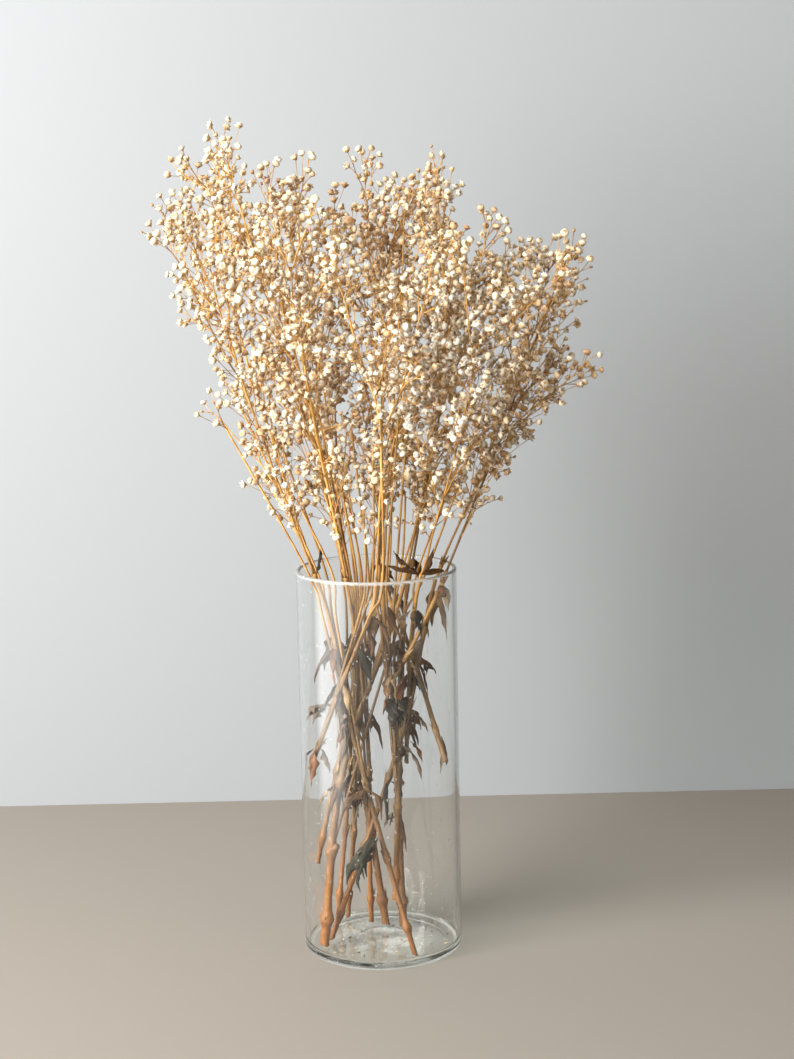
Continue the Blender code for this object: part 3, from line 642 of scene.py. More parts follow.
def into_slice(points, k):
    """The points, each moved towards stem k's own line until it is clear of the slices of the other stems."""
    points = np.array(points)
    heights = points[:, 2:] - APEX_Z
    slopes = points[:, :2] / heights
    others = np.delete(SLOPES, k, axis=0)
    apart = np.linalg.norm(others - SLOPES[k], axis=1)
    to_others = np.linalg.norm(slopes[:, None] - others[None], axis=2)
    to_own = np.linalg.norm(slopes - SLOPES[k], axis=1)[:, None]
    here = (to_others**2 - to_own**2) / (2 * apart) * heights
    on_line = apart / 2 * heights
    short = here < SLICE_MARGIN
    shares = np.where(short, (SLICE_MARGIN - here) / np.where(short, on_line - here, 1), 0).max(axis=1)
    points[:, :2] += np.minimum(shares, 1)[:, None] * (SLOPES[k] * heights - points[:, :2])
    return points


def in_cloud(point):
    """Whether a point lies inside the cloud of blooms."""
    side, depth, height = point
    left = np.interp(height, *zip(*LEFT_EDGE))
    right = np.interp(height, *zip(*RIGHT_EDGE))
    middle, half = (left + right) / 2, (right - left) / 2
    deep = DEPTH_SLOPE * (height - APEX_Z)
    round_share = ((side - middle) / half) ** 2 + (depth / deep) ** 2
    top = np.interp(side, *zip(*TOP_EDGE)) - TOP_DROP * (depth / deep) ** 2
    return round_share < 1 and LOWEST_TUFT < height < top - TOP_MARGIN


def tuft_florets(centre, k, number):
    """Where a tuft's florets sit: one at its centre and the rest round it, the outermost first."""
    draw = np.random.default_rng((PLAN_SEED, k, number))
    wanted = draw.integers(*TUFT_FLORETS)
    outwards = unit(centre - (0, 0, APEX_Z))
    ways = unit(draw.normal(size=(FLORET_DRAWS * wanted, 3))) + OUTWARD_PULL * outwards
    reaches = TUFT_RADIUS * draw.random(len(ways)) ** 0.5
    florets = centre[None]
    for point in into_slice(centre + reaches[:, None] * ways, k):
        if len(florets) < wanted and np.linalg.norm(florets - point, axis=1).min() > FLORET_SPACING:
            florets = np.vstack([florets, point])
    order = 1 + np.argsort(-np.linalg.norm(florets[1:] - (0, 0, APEX_Z), axis=1))
    return florets[[0, *order]]


@dataclass
class Twig:
    """A branch from fork to fork to its bloom. Loads are the florets beyond each point, shoots one a fork."""

    points: list
    loads: list
    shoots: list

    def and_shoots(self):
        """This twig and all that grow from it."""
        return [self] + [twig for shoot in self.shoots for twig in shoot.and_shoots()]


def fork_point(start, places, shortest=SHORTEST_STEP):
    """Where a twig on its way to these places has to fork."""
    axis = unit(places.mean(axis=0) - start)
    along = (places - start) @ axis
    across = np.linalg.norm(places - start - along[:, None] * axis, axis=1)
    leaves_at = (along - FORK_RATIO * across).min()
    room = max(along.min(), TIGHT_FORK * np.linalg.norm(places - start, axis=1).min())
    near, far = (share * room for share in FORK_SHARES)
    return start + axis * max(min(max(leaves_at, near), far), shortest)


def split_goals(start, fork, tufts):
    """The tufts that go on past a fork, and those that its shoot takes, each on one side of a plane."""
    headings = unit(np.array([tuft[0] for tuft in tufts]) - fork)
    first = (headings @ unit(fork - start)).argmin()
    onwards = unit(np.delete(headings, first, axis=0).sum(axis=0))
    leaves = headings @ headings[first] > headings @ onwards
    leaves[first] = True
    leaves[(headings @ headings[first]).argmin()] &= not leaves.all()
    return [[tuft for tuft, out in zip(tufts, leaves) if out == side] for side in (False, True)]


def grow(start, tufts):
    """The twig from the start to one of the tufts. A shoot leaves it at each fork, for some of the others."""
    twig = Twig([start], [], [])
    while len(tufts) > 1:
        start = twig.points[-1]
        fork = fork_point(start, np.array([tuft[0] for tuft in tufts]))
        twig.points.append(fork)
        twig.loads.append(sum(len(tuft) for tuft in tufts))
        tufts, rest = split_goals(start, fork, tufts)
        twig.shoots.append(grow(fork, rest))
    florets = tufts[0]
    last, end, side = twig.points[-1], florets[0], florets[1]
    back = min(LAST_FORK[0] * np.linalg.norm(end - last), LAST_FORK[1] * np.linalg.norm(side - end))
    fork = end - back * unit(end - last)
    twig.points += [fork, end]
    twig.loads += [len(florets), 1]
    twig.shoots.append(Twig([fork, side], [1], []))
    return twig


def twig_radius(florets):
    """Radius of a twig that carries so many florets."""
    return max(TWIG_RADIUS * florets**TWIG_POWER, TWIG_LEAST)


def distance_to_lines(points, starts, ends):
    """Distance from each point to each line between a start and an end."""
    along = ends - starts
    t = np.einsum("pls,ls->pl", points[:, None] - starts, along) / (along**2).sum(axis=1)
    nearest = starts + np.clip(t, 0, 1)[..., None] * along
    return np.linalg.norm(points[:, None] - nearest, axis=2)


def is_clear(crown):
    """Whether a crown's blooms keep clear of its other twigs and blooms, and its twigs part widely enough."""
    twigs = crown.and_shoots()
    starts = np.array([point for twig in twigs for point in twig.points[:-1]])
    ends = np.array([point for twig in twigs for point in twig.points[1:]])
    ways = unit(ends - starts)
    together = np.linalg.norm(starts[:, None] - starts[None], axis=2) < TOUCH
    np.fill_diagonal(together, False)
    if ((ways @ ways.T)[together] > math.cos(LEAST_FORK_ANGLE)).any():
        return False
    thick = np.array([twig_radius(load) for twig in twigs for load in twig.loads])
    blooms = np.array([twig.points[-1] for twig in twigs])
    own = np.linalg.norm(blooms[:, None] - ends[None], axis=2) < TOUCH
    room = distance_to_lines(blooms, starts, ends) - thick
    between = np.linalg.norm(blooms[:, None] - blooms[None], axis=2) + np.eye(len(blooms))
    if room[~own].min() < BLOOM_ROOM or between.min() < 2 * BLOOM_ROOM:
        return False
    follows = np.linalg.norm(ends[:, None] - starts[None], axis=2) < TOUCH
    joined = together | follows | follows.T | np.eye(len(starts), dtype=bool)
    for share in CLEAR_SAMPLES:
        room = distance_to_lines(starts + share * (ends - starts), starts, ends) - thick - thick[:, None]
        if room[~joined].min(initial=CLEAR) < CLEAR:
            return False
    return True


def with_tuft(top, tufts, centre, k):
    """A stem's tufts with a new one at this centre, or None if its crown would then cross itself."""
    florets = tuft_florets(centre, k, len(tufts))
    for number in range(1, min(len(florets), SIDE_TRIES + 1)):
        florets[[1, number]] = florets[[number, 1]]
        if is_clear(grow(top, [*tufts, florets])):
            return [*tufts, florets]
    return None


def places_offered(draw, taken):
    """Places in the cloud for one more tuft, the one that is furthest from the tufts there first."""
    places = []
    while len(places) < CANDIDATES:
        point = np.array([draw.uniform(*reach) for reach in CLOUD_BOX])
        off_axis = math.hypot(*point[:2]) / (point[2] - APEX_Z)
        inner = off_axis < HEART_SHARE * DEPTH_SLOPE and point[2] < HEART_TOP
        if in_cloud(point) and not (inner and draw.random() < HEART_THINNING):
            places.append(into_slice([point], slice_of(point))[0])
    return sorted(places, key=lambda place: -np.linalg.norm(np.array(taken) - place, axis=1).min())


def scatter_tufts(tops):
    """The tufts of each stem's crown, as arrays of florets: the named ones, then others in the cloud."""
    draw = random.Random(PLAN_SEED)
    owned = [[] for _ in STEMS]
    taken = []
    for number in range(len(EDGE_TUFTS) + SCATTER_ROUNDS):
        if number < len(EDGE_TUFTS):
            place = np.array(EDGE_TUFTS[number])
            places = into_slice([place], slice_of(place))
        else:
            places = places_offered(draw, taken)[:OFFERS_TRIED]
        for place in places:
            k = slice_of(place)
            tufts = with_tuft(tops[k], owned[k], place, k)
            if tufts and len(taken) < TUFTS:
                owned[k] = tufts
                taken.append(place)
                break
    return owned


def ring_stations(route):
    """The stations of a route where its tube has a ring of points."""
    return [*range(0, len(route) - RING_EVERY // 2, RING_EVERY), len(route) - 1]


def leaf_rib(leaf, route, radii, turn):
    """The middle line of a leaf that leaves its stem turned by so many degrees from where it is wanted."""
    at = min(ring_stations(route), key=lambda station: abs(route[station, 2] - leaf.height))
    azimuth = math.radians(leaf.azimuth + turn)
    out = np.array([math.cos(azimuth), math.sin(azimuth), 0])
    points = [route[at] + out * (radii[at] + TOUCH + LEAF_THICKNESS / 2)]
    step = leaf.length / (LEAF_STATIONS - 1)
    for share in np.linspace(0, 1, LEAF_STATIONS)[:-1]:
        rise = math.radians(leaf.rise[0] + (leaf.rise[1] - leaf.rise[0]) * share)
        around = azimuth + math.radians(leaf.curl) * share
        way = (math.cos(rise) * math.cos(around), math.cos(rise) * math.sin(around), math.sin(rise))
        points.append(points[-1] + step * np.array(way))
    return np.array(points)


def leaf_half_widths(leaf):
    """Half the leaf's width at each station: narrow at the stalk, widest a third of the way out, pointed."""
    share = np.linspace(0, 1, LEAF_STATIONS)
    swell = LEAF_STALK + (1 - LEAF_STALK) * np.sin(math.pi * share**LEAF_BELLY) ** LEAF_FULLNESS
    return leaf.width / 2 * swell * (1 - LEAF_TIP_TAPER * share**LEAF_TIP_POWER)


def place_leaves(routes, radii, twigs):
    """A middle line for each leaf, turned round its stem as little as lets it hang clear of all the rest."""
    starts = [route[:-1] for route in routes]
    ends = [route[1:] for route in routes]
    thick = [radius[1:] for radius in radii]
    for twig in twigs:
        starts.append(np.array(twig.points[:-1]))
        ends.append(np.array(twig.points[1:]))
        thick.append(np.array([twig_radius(load) for load in twig.loads]))
    starts, ends, thick = np.concatenate(starts), np.concatenate(ends), np.concatenate(thick)
    placed = []
    for leaf in LEAVES:
        half = leaf_half_widths(leaf) + LEAF_THICKNESS / 2
        best = None
        for n in range(LEAF_TRIES):
            turn = (n + 1) // 2 * (-1) ** n * 360 / LEAF_TRIES
            rib = leaf_rib(leaf, routes[leaf.stem], radii[leaf.stem], turn)
            room = (distance_to_lines(rib[1:], starts, ends) - thick).min(axis=1) - half[1:]
            to_glass = BORE - np.linalg.norm(rib[1:, :2], axis=1) - half[1:]
            room = np.minimum(room, np.where(rib[1:, 2] < GLASS_REACH, to_glass, room))
            for other, other_half in placed:
                apart = np.linalg.norm(rib[1:, None] - other[None], axis=2)
                room = np.minimum(room, (apart - other_half[None]).min(axis=1) - half[1:])
            if best is None or room.min() > best[0]:
                best = (room.min(), rib)
            if best[0] > CLEAR:
                break
        placed.append((best[1], half))
    return [rib for rib, _ in placed]


@functools.cache
def plan():
    """The stems' routes and radii, each stem's tufts, and the leaves' ribs."""
    routes, radii = settled_routes()
    tops = [route[-1] for route in routes]
    owned = scatter_tufts(tops)
    twigs = [twig for top, tufts in zip(tops, owned) for twig in grow(top, tufts).and_shoots()]
    return routes, radii, owned, place_leaves(routes, radii, twigs)


def branched(start, tufts):
    """The twig from the start, forked as the frame's is, and then on down to every single floret."""
    twig = Twig([start], [], [])
    while len(tufts) > 1 or len(tufts[0]) > 1:
        if len(tufts) == 1:
            tufts = [floret[None] for floret in tufts[0]]
        start = twig.points[-1]
        step = SHORTEST_STEP if len(tufts[0]) > 1 else FINE_STEP
        fork = fork_point(start, np.array([tuft[0] for tuft in tufts]), step)
        twig.points.append(fork)
        twig.loads.append(sum(len(tuft) for tuft in tufts))
        tufts, rest = split_goals(start, fork, tufts)
        twig.shoots.append(branched(fork, rest))
    twig.points.append(tufts[0][0])
    twig.loads.append(1)
    return twig


# Finishes


class Value:
    """A socket in a finish's nodes. Arithmetic on it adds Math nodes."""

    def __init__(self, finish, socket):
        self.finish, self.socket = finish, socket

    def __add__(self, other):
        return self.finish.maths("ADD", self, other)

    def __sub__(self, other):
        return self.finish.maths("SUBTRACT", self, other)

    def __rsub__(self, other):
        return self.finish.maths("SUBTRACT", other, self)

    def __mul__(self, other):
        return self.finish.maths("MULTIPLY", self, other)

    def __abs__(self):
        return self.finish.maths("ABSOLUTE", self)

    __radd__ = __add__
    __rmul__ = __mul__


class Finish:
    """A material with a Principled shader, whose uniform values are set by name, and its nodes."""

    def __init__(self, name, **uniform):
        self.material = bpy.data.materials.new(name)
        self.material.use_nodes = True
        self.tree = self.material.node_tree
        self.shader = self.tree.nodes["Principled BSDF"]
        self.drive(**uniform)

    def drive(self, **values):
        """Sets or links the shader's sockets by name."""
        for key, value in values.items():
            self.feed(self.shader.inputs[key.replace("_", " ")], value)

    def feed(self, socket, value):
        """Sets a socket to a plain value, or links a Value to it."""
        if isinstance(value, Value):
            self.tree.links.new(value.socket, socket)
        else:
            socket.default_value = value

    def node(self, kind, settings=None, inputs=None, output=0):
        """A new node with its settings and its sockets' values or links. Returns one of its outputs."""
        made = self.tree.nodes.new(kind)
        for key, value in (settings or {}).items():
            setattr(made, key, value)
        for key, value in (inputs or {}).items():
            self.feed(made.inputs[key], value)
        return Value(self, made.outputs[output])

    def maths(self, operation, first, second=0.0):
        """A Math node on one or two numbers."""
        return self.node("ShaderNodeMath", {"operation": operation}, {0: first, 1: second})

    def axes(self, vector):
        """The three numbers of a vector."""
        return [self.node("ShaderNodeSeparateXYZ", {}, {0: vector}, axis) for axis in range(3)]

    def pattern(self, name):
        """A named pattern on object coordinates."""
        stretch, scale, detail = PATTERNS[name]
        coordinates = self.node("ShaderNodeTexCoord", output="Object")
        place = self.node("ShaderNodeMapping", {}, {"Vector": coordinates, "Scale": stretch})
        return self.node("ShaderNodeTexNoise", {}, {"Vector": place, "Scale": scale, "Detail": detail})

    def span(self, value, low, high, to_low=0.0, to_high=1.0):
        """The value's place between low and high, spread from to_low to to_high and eased at both ends."""
        sockets = {"Value": value, "From Min": low, "From Max": high, "To Min": to_low, "To Max": to_high}
        return self.node("ShaderNodeMapRange", {"interpolation_type": "SMOOTHSTEP"}, sockets)

    def mix(self, factor, first, second, blend="MIX"):
        """A mix of two colours."""
        settings = {"data_type": "RGBA", "blend_type": blend}
        return self.node("ShaderNodeMix", settings, {0: factor, 6: first, 7: second}, output=2)

    def bump(self, height, strength, distance):
        """Raises the surface where the height is great."""
        sockets = {"Height": height, "Strength": strength, "Distance": distance}
        self.drive(Normal=self.node("ShaderNodeBump", {}, sockets))

    def ray(self, kind):
        """Whether a ray is of this kind."""
        return self.node("ShaderNodeLightPath", output=kind)

    def cover(self, factor, under, over):
        """A mix of two shaders. None stands for the Principled one."""
        under = under or Value(self, self.shader.outputs[0])
        return self.node("ShaderNodeMixShader", {}, {0: factor, 1: under, 2: over})

    def show(self, shader):
        """Puts this shader on the surface, and returns the material."""
        self.feed(self.tree.nodes["Material Output"].inputs["Surface"], shader)
        return self.material


def tinted(name, **uniform):
    """A finish, and the Value of the colour that a piece's own mesh carries."""
    finish = Finish(name, **uniform)
    return finish, finish.node("ShaderNodeAttribute", {"attribute_name": TINT}, output="Color")


@functools.cache
def straw_finish():
    """Dry stems: fibres along them, dull blotches and darker flecks."""
    finish, tint = tinted("dried_stem")
    fibres, blotches, flecks = (finish.pattern(name) for name in ("fibres", "blotches", "flecks"))
    dull = finish.mix(1.0, tint, DULL_TINT, "MULTIPLY")
    blotched = finish.mix(finish.span(blotches, *BLOTCHES), tint, dull)
    lined = finish.mix(finish.span(fibres, *FIBRES), blotched, FIBRE_COLOUR)
    finish.drive(
        Base_Color=finish.mix(finish.span(flecks, *FLECKS), lined, FLECK_COLOUR),
        Roughness=finish.span(blotches, *STEM_ROUGHNESS),
    )
    finish.bump(fibres * 0.7 + blotches * 0.3, *STEM_BUMP)
    return finish.material


@functools.cache
def petal_finish():
    """Papery petals: fine creases, brown stains and a faint sheen."""
    finish, tint = tinted("dried_petal", Roughness=PETAL_ROUGHNESS, Sheen_Weight=PETAL_SHEEN)
    creases, stains = finish.pattern("creases"), finish.pattern("petal_stains")
    stained = finish.mix(finish.span(stains, *PETAL_STAINS), tint, STAINED_PETAL)
    finish.drive(Base_Color=finish.mix(finish.span(creases, *CREASES), stained, CREASE_COLOUR))
    finish.bump(creases, *PETAL_BUMP)
    return finish.material


@functools.cache
def leaf_finish():
    """Brittle leaves: veins from the rib, mottled, and paler where they are worn."""
    finish, tint = tinted("dead_leaf", Specular_IOR_Level=LEAF_SPECULAR)
    across, along, _ = finish.axes(finish.node("ShaderNodeUVMap", {"uv_map": BLADE_UV}))
    from_rib = abs((across - 0.5) * 2.0)
    side_veins = finish.maths("SINE", (along - from_rib * VEIN_SLANT) * VEINS_ALONG)
    rib = finish.span(from_rib, 0.0, RIB_WIDTH, 1.0, 0.0)
    veins = finish.maths("MAXIMUM", rib, finish.span(side_veins, VEIN_EDGE, 1.0) * VEIN_SHARE)
    mottle = finish.pattern("mottle")
    worn = finish.mix(1.0, tint, WORN_LEAF_TINT, "MULTIPLY")
    patchy = finish.mix(finish.span(mottle, *MOTTLE), tint, worn)
    finish.drive(
        Base_Color=finish.mix(veins * VEIN_SHARE, patchy, worn),
        Roughness=finish.span(mottle, *LEAF_ROUGHNESS),
    )
    finish.bump(veins * 0.5 + mottle * 0.5, *LEAF_BUMP)
    return finish.material


@functools.cache
def glass_finish(tint):
    """Clear glass with a film of dust, wear, and a painted highlight along its rim. Light from lamps and
    scattered light pass straight through.
    """
    finish = Finish("clear_glass", Base_Color=tint, Roughness=0.0, IOR=1.45, Transmission_Weight=1.0)
    x, y, height = finish.axes(finish.node("ShaderNodeTexCoord", output="Object"))
    from_axis = x * x + y * y
    heel = finish.span(height, *HEEL_HEIGHTS, HEEL_WEAR, 0.0)
    mark = finish.span(from_axis, MARK_REACH**2, (MARK_REACH / 3) ** 2) * finish.span(height, *MARK_HEIGHTS)
    covers = [
        finish.span(finish.pattern("film"), *FILM),
        finish.span(finish.pattern("specks"), *SPECKS),
        heel * finish.span(from_axis, *(reach**2 for reach in HEEL_REACHES)),
        # Painted highlight: a whitish band along the top of the rim
        finish.span(height, VASE_HEIGHT - WALL, VASE_HEIGHT - WALL / 2, 0.0, RIM_PAINTED_HIGHLIGHT),
        mark * finish.span(finish.pattern("dried_water"), *DRIED_WATER),
    ]
    most = functools.reduce(lambda first, second: finish.maths("MAXIMUM", first, second), covers)
    dust_and_highlight = finish.cover(most, None, finish.node("ShaderNodeBsdfDiffuse", {}, {"Color": DUST_AND_HIGHLIGHT_COLOUR}))
    passes = finish.maths("MAXIMUM", finish.ray("Is Shadow Ray"), finish.ray("Is Diffuse Ray"))
    clear = finish.node("ShaderNodeBsdfTransparent", {}, {"Color": CLEAR_COLOUR})
    return finish.show(finish.cover(passes, dust_and_highlight, clear))


def stage_finish(name, colour):
    """A dull finish that a camera behind the surface sees through."""
    finish = Finish(name, Base_Color=colour, Roughness=1.0, Specular_IOR_Level=0.0)
    from_behind = finish.ray("Is Camera Ray") * finish.node("ShaderNodeNewGeometry", output="Backfacing")
    return finish.show(finish.cover(from_behind, None, finish.node("ShaderNodeBsdfTransparent")))


# Making pieces


def smoothstep(value, low, high):
    """The value's place between low and high, from 0 to 1, eased at both ends."""
    share = np.clip((value - low) / (high - low), 0, 1)
    return share * share * (3 - 2 * share)


def mesh_of(bm, name):
    """The finished mesh of a bmesh, shaded smooth."""
    for face in bm.faces:
        face.smooth = True
    mesh = bpy.data.meshes.new(name)
    bm.to_mesh(mesh)
    bm.free()
    return mesh


def add_piece(name, mesh, finishes, slot, *nodes):
    """Puts a finished mesh in the scene, riding on the frame, in place of any nodes that it stands for."""
    for finish in finishes:
        mesh.materials.append(finish)
    piece = bpy.data.objects.new(name, mesh)
    bpy.context.scene.collection.objects.link(piece)
    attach(piece, "root")
    if nodes:
        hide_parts(*nodes)
    return piece


def paint(mesh, colours):
    """Gives every vertex of the mesh its colour: one for all, or a row for each."""
    layer = mesh.attributes.get(TINT) or mesh.attributes.new(TINT, "FLOAT_COLOR", "POINT")
    rows = np.ones((len(mesh.vertices), 4), np.float32)
    rows[:, :3] = colours
    layer.data.foreach_set("color", rows.ravel())


def places_of(mesh):
    """The place of every vertex of the mesh, a row for each."""
    rows = np.empty(3 * len(mesh.vertices), np.float32)
    mesh.vertices.foreach_get("co", rows)
    return rows.reshape(-1, 3)


def smooth_line(points, stations):
    """A smooth curve through the points, at evenly spread stations."""
    points = np.vstack([2 * points[0] - points[1], points, 2 * points[-1] - points[-2]])
    at = np.linspace(1, len(points) - 2, stations)
    k = np.minimum(at.astype(int), len(points) - 3)
    t = (at - k)[:, None]
    a, b, c, d = (points[k + shift] for shift in (-1, 0, 1, 2))
    return b + t / 2 * (c - a + t * (2 * a - 5 * b + 4 * c - d + t * (3 * (b - c) + d - a)))


def tubes_mesh(lines, roundness):
    """A closed tube for each line of points and radii."""
    curve = bpy.data.curves.new("tubes", "CURVE")
    curve.dimensions = "3D"
    curve.bevel_depth = 1.0
    curve.bevel_resolution = roundness
    curve.use_fill_caps = True
    for points, radii in lines:
        spline = curve.splines.new("POLY")
        spline.points.add(len(points) - 1)
        places = np.column_stack([points, np.ones(len(points))])
        spline.points.foreach_set("co", places.astype(np.float32).ravel())
        spline.points.foreach_set("radius", np.asarray(radii, np.float32))
        spline.use_smooth = True
    guide = bpy.data.objects.new("tubes", curve)
    bpy.context.scene.collection.objects.link(guide)
    mesh = bpy.data.meshes.new_from_object(guide.evaluated_get(bpy.context.evaluated_depsgraph_get()))
    bpy.data.objects.remove(guide)
    bpy.data.curves.remove(curve)
    return mesh


# Twigs


def bowed(start, end, draw):
    """The points from start to end, without the start, bent a little as dry twigs are."""
    length = np.linalg.norm(end - start)
    spans = 1 + min(int(length / BOW_SPAN), MOST_BOWS)
    off = draw.normal(size=3) * BOW * length
    shares = np.linspace(0, 1, spans + 1)[1:, None]
    return start + shares * (end - start) + 4 * shares * (1 - shares) * off


def twig_lines(crown, draw):
    """A line of points and radii for every twig of a crown, and how much its first stretch carries."""
    lines = []
    for twig in crown.and_shoots():
        points, radii = [twig.points[0]], [fine_radius(twig.loads[0])]
        for start, end, load in zip(twig.points, twig.points[1:], twig.loads):
            stretch = bowed(start, end, draw)
            points.extend(stretch)
            radii.extend([fine_radius(load)] * len(stretch))
        radii[-1] *= STALK_SWELL
        lines.append((np.array(points), np.array(radii), twig.loads[0]))
    return lines


def fine_radius(load):
    """Radius of a twig that carries so many florets, at its true thinness."""
    return PEDICEL_RADIUS * load**FINE_POWER


def stem_line(route, radii, draw):
    """Fine stations up a stem, with its knuckles and the unevenness of its skin."""
    count = 2 * len(route) - 1
    points = smooth_line(route, count)
    radius = np.interp(np.linspace(0, 1, count), np.linspace(0, 1, len(route)), radii)
    radius *= 1 + SKIN_UNEVEN * draw.normal(size=count)
    heights = points[:, 2] - points[0, 2]
    for station in knuckle_stations(points):
        if points[station, 2] < LOW_KNUCKLES:
            away = (heights - heights[station]) / KNUCKLE_LENGTH
            radius *= 1 + LOW_SWELL * np.exp(-(away**2))
    keep_in_bore(points, radius)
    return points, radius


def knuckle_stations(points):
    """The stations of a stem's knuckles."""
    heights = points[:, 2] - points[0, 2]
    found = np.arange(FIRST_KNUCKLE, heights[-1], KNUCKLE_SPACING)
    return [int(np.abs(heights - height).argmin()) for height in found]


def straw_colours(places, tone):
    """Colours of stems and twigs: orange at the foot, brown in the vase, straw at the lip, gold above."""
    height = places[:, 2:]
    colours = np.array([FOOT_COLOUR, MIDDLE_COLOUR, STRAW_COLOUR, GOLD_COLOUR])
    mixed = colours[0]
    for fade, start, end in zip((FOOT_FADE, STRAW_FADE, GOLD_FADE), colours, colours[1:]):
        mixed = mixed + smoothstep(height, *fade) * (end - start)
    return tone * mixed


def scale_mesh():
    """A pointed scale for sheaths and crumbs. It lies along +Z, is 1 long and is bent outwards, to +X."""
    bm = bmesh.new()
    bmesh.ops.create_cone(bm, cap_ends=True, segments=4, radius1=1, radius2=SCALE_TIP, depth=1)
    long_edges = [edge for edge in bm.edges if abs(edge.verts[0].co.z - edge.verts[1].co.z) > 0.5]
    bmesh.ops.subdivide_edges(bm, edges=long_edges, cuts=1)
    for spot in bm.verts:
        share = spot.co.z + 0.5
        out = SCALE_THICKNESS * spot.co.x + SCALE_BEND * share**2
        side = SCALE_WIDTH * spot.co.y * (1 + SCALE_BULGE * share * (1 - share))
        spot.co = (out, side, share)
    return painted(bm, "scale")


def bract_mesh():
    """A tiny pointed bract that lies along +Z, 1 long."""
    bm = bmesh.new()
    bmesh.ops.create_cone(bm, cap_ends=True, segments=3, radius1=SCALE_WIDTH, radius2=0, depth=1)
    bmesh.ops.translate(bm, verts=bm.verts, vec=(0, 0, 0.5))
    return painted(bm, "bract")


def painted(bm, name):
    """The finished mesh of a template, in white, for append to colour."""
    mesh = mesh_of(bm, name)
    paint(mesh, 1)
    return mesh


def placing(place, way, size, turn=0.0):
    """Takes a shape that grows along +Z from the origin to a place, along a way, at a size."""
    facing = Vector(way).to_track_quat("Z", "Y") @ Quaternion((0, 0, 1), turn)
    return Matrix.Translation(Vector(place)) @ facing.to_matrix().to_4x4() @ Matrix.Diagonal((*[size] * 3, 1))


def facing_out(place, way, size, out):
    """As placing, with the shape's +X side turned outwards."""
    side = unit(np.cross(way, out))
    turn = Matrix(np.column_stack([np.cross(side, way), side, way]).tolist()).to_4x4()
    return Matrix.Translation(Vector(place)) @ turn @ Matrix.Diagonal((*[size] * 3, 1))


def append(bm, template, matrix, tint):
    """Adds a placed copy of a template to a mesh in the making. The tint multiplies its own colours."""
    copy = template.copy()
    copy.transform(matrix)
    rows = np.empty(4 * len(copy.vertices), np.float32)
    layer = copy.attributes[TINT].data
    layer.foreach_get("color", rows)
    rows = np.minimum(rows.reshape(-1, 4) * (*tint, 1), (*[PALEST] * 3, 1))
    layer.foreach_set("color", rows.astype(np.float32).ravel())
    bm.from_mesh(copy)
    bpy.data.meshes.remove(copy)


# Blooms


def bloom_mesh(name, petals, heart_height, rings, draw):
    """A closed bloom on the origin, drawn up +Z ring by ring from its stalk and poked at its heart."""
    bm = bmesh.new()
    layer = bm.verts.layers.float_color.new(TINT)
    corners = 2 * petals
    bmesh.ops.create_circle(bm, cap_ends=True, segments=corners, radius=STALK_RADIUS)
    for spot in bm.verts:
        spot[layer] = (*CALYX, 1)
    bm.faces.ensure_lookup_table()
    cap = bm.faces[0]
    for reach, rise, notch, dip, odd, colour in rings:
        cap = bmesh.ops.extrude_discrete_faces(bm, faces=[cap])["faces"][0]
        for number, spot in enumerate(cap.verts):
            side, height = (reach, rise) if number % 2 == odd else (notch, dip)
            side *= MM * draw.uniform(1 - RAGGED, 1 + RAGGED)
            height *= MM * draw.uniform(1 - RAGGED / 2, 1 + RAGGED / 2)
            angle = math.tau * (number + draw.uniform(-RAGGED, RAGGED)) / corners
            spot.co = (side * math.cos(angle), side * math.sin(angle), height)
            spot[layer] = (*colour, 1)
    heart = bmesh.ops.poke(bm, faces=[cap])["verts"][0]
    heart.co.z = heart_height * MM
    heart[layer] = (*HEART, 1)
    bmesh.ops.recalc_face_normals(bm, faces=bm.faces)
    return mesh_of(bm, name)


@functools.cache
def bloom_kinds():
    """A few meshes of each kind of bloom."""
    draw = random.Random(PLAN_SEED)
    return {
        kind: [bloom_mesh(f"{kind}_{number}", *shape, draw) for number in range(VARIANTS)]
        for kind, shape in BLOOMS.items()
    }


def bloom_tone(place, run_tone, draw):
    """How pale or brown a bloom is, by its run of blooms, its own draw and the bunch's spots."""
    tone = run_tone + draw.normal(*OWN_TONE)
    for strength, spots in SPOT_TONES.items():
        for centre, reach in spots:
            tone += strength * math.exp(-(np.linalg.norm(place - centre) / reach) ** 2)
    return max(-1.0, min(1.0, tone))


def bloom_tint(tone):
    """The colour that a tone multiplies a bloom's own colours by."""
    towards = np.array(PALE_TINT if tone > 0 else BROWN_TINT)
    return 1 + abs(tone) * (towards - 1)


@functools.cache
def full_crowns():
    """Every stem's crown down to its single florets, with side twigs that fill thin places."""
    draw = np.random.default_rng(PLAN_SEED)
    routes, _, owned, _ = plan()
    crowns = [branched(route[-1], [in_box(tuft) for tuft in tufts]) for route, tufts in zip(routes, owned)]
    every = [twig for crown in crowns for twig in crown.and_shoots()]
    blooms = [twig.points[-1] for twig in every]
    twigs = [twig for twig in every if twig.loads[0] >= FILLER_LOAD]
    for shape, count in FILLERS.items():
        for _ in range(count):
            offers = filler_offers(twigs, shape, FILLER_OFFERS, draw)
            if offers:
                taken = np.array(blooms)
                crowding = [crowd_at(offer[3], taken) for offer in offers]
                blooms.extend(add_filler(*offers[int(np.argmin(crowding))], draw))
    for centre, reach in PALE_SPOTS:
        for _ in range(CLUSTER_FILLERS):
            wanted = centre + reach / 2 * draw.normal(size=3)
            offers = filler_offers(twigs, next(iter(FILLERS)), CLUSTER_OFFERS, draw)
            add_filler(*min(offers, key=lambda offer: np.linalg.norm(offer[3] - wanted)), draw)
    return crowns


def in_box(places):
    """The places, moved into the frame's box, apart from a small margin."""
    low, high = (np.array(corner) for corner in CAD_BOX)
    return np.clip(places, low - BOX_MARGIN, high + BOX_MARGIN)


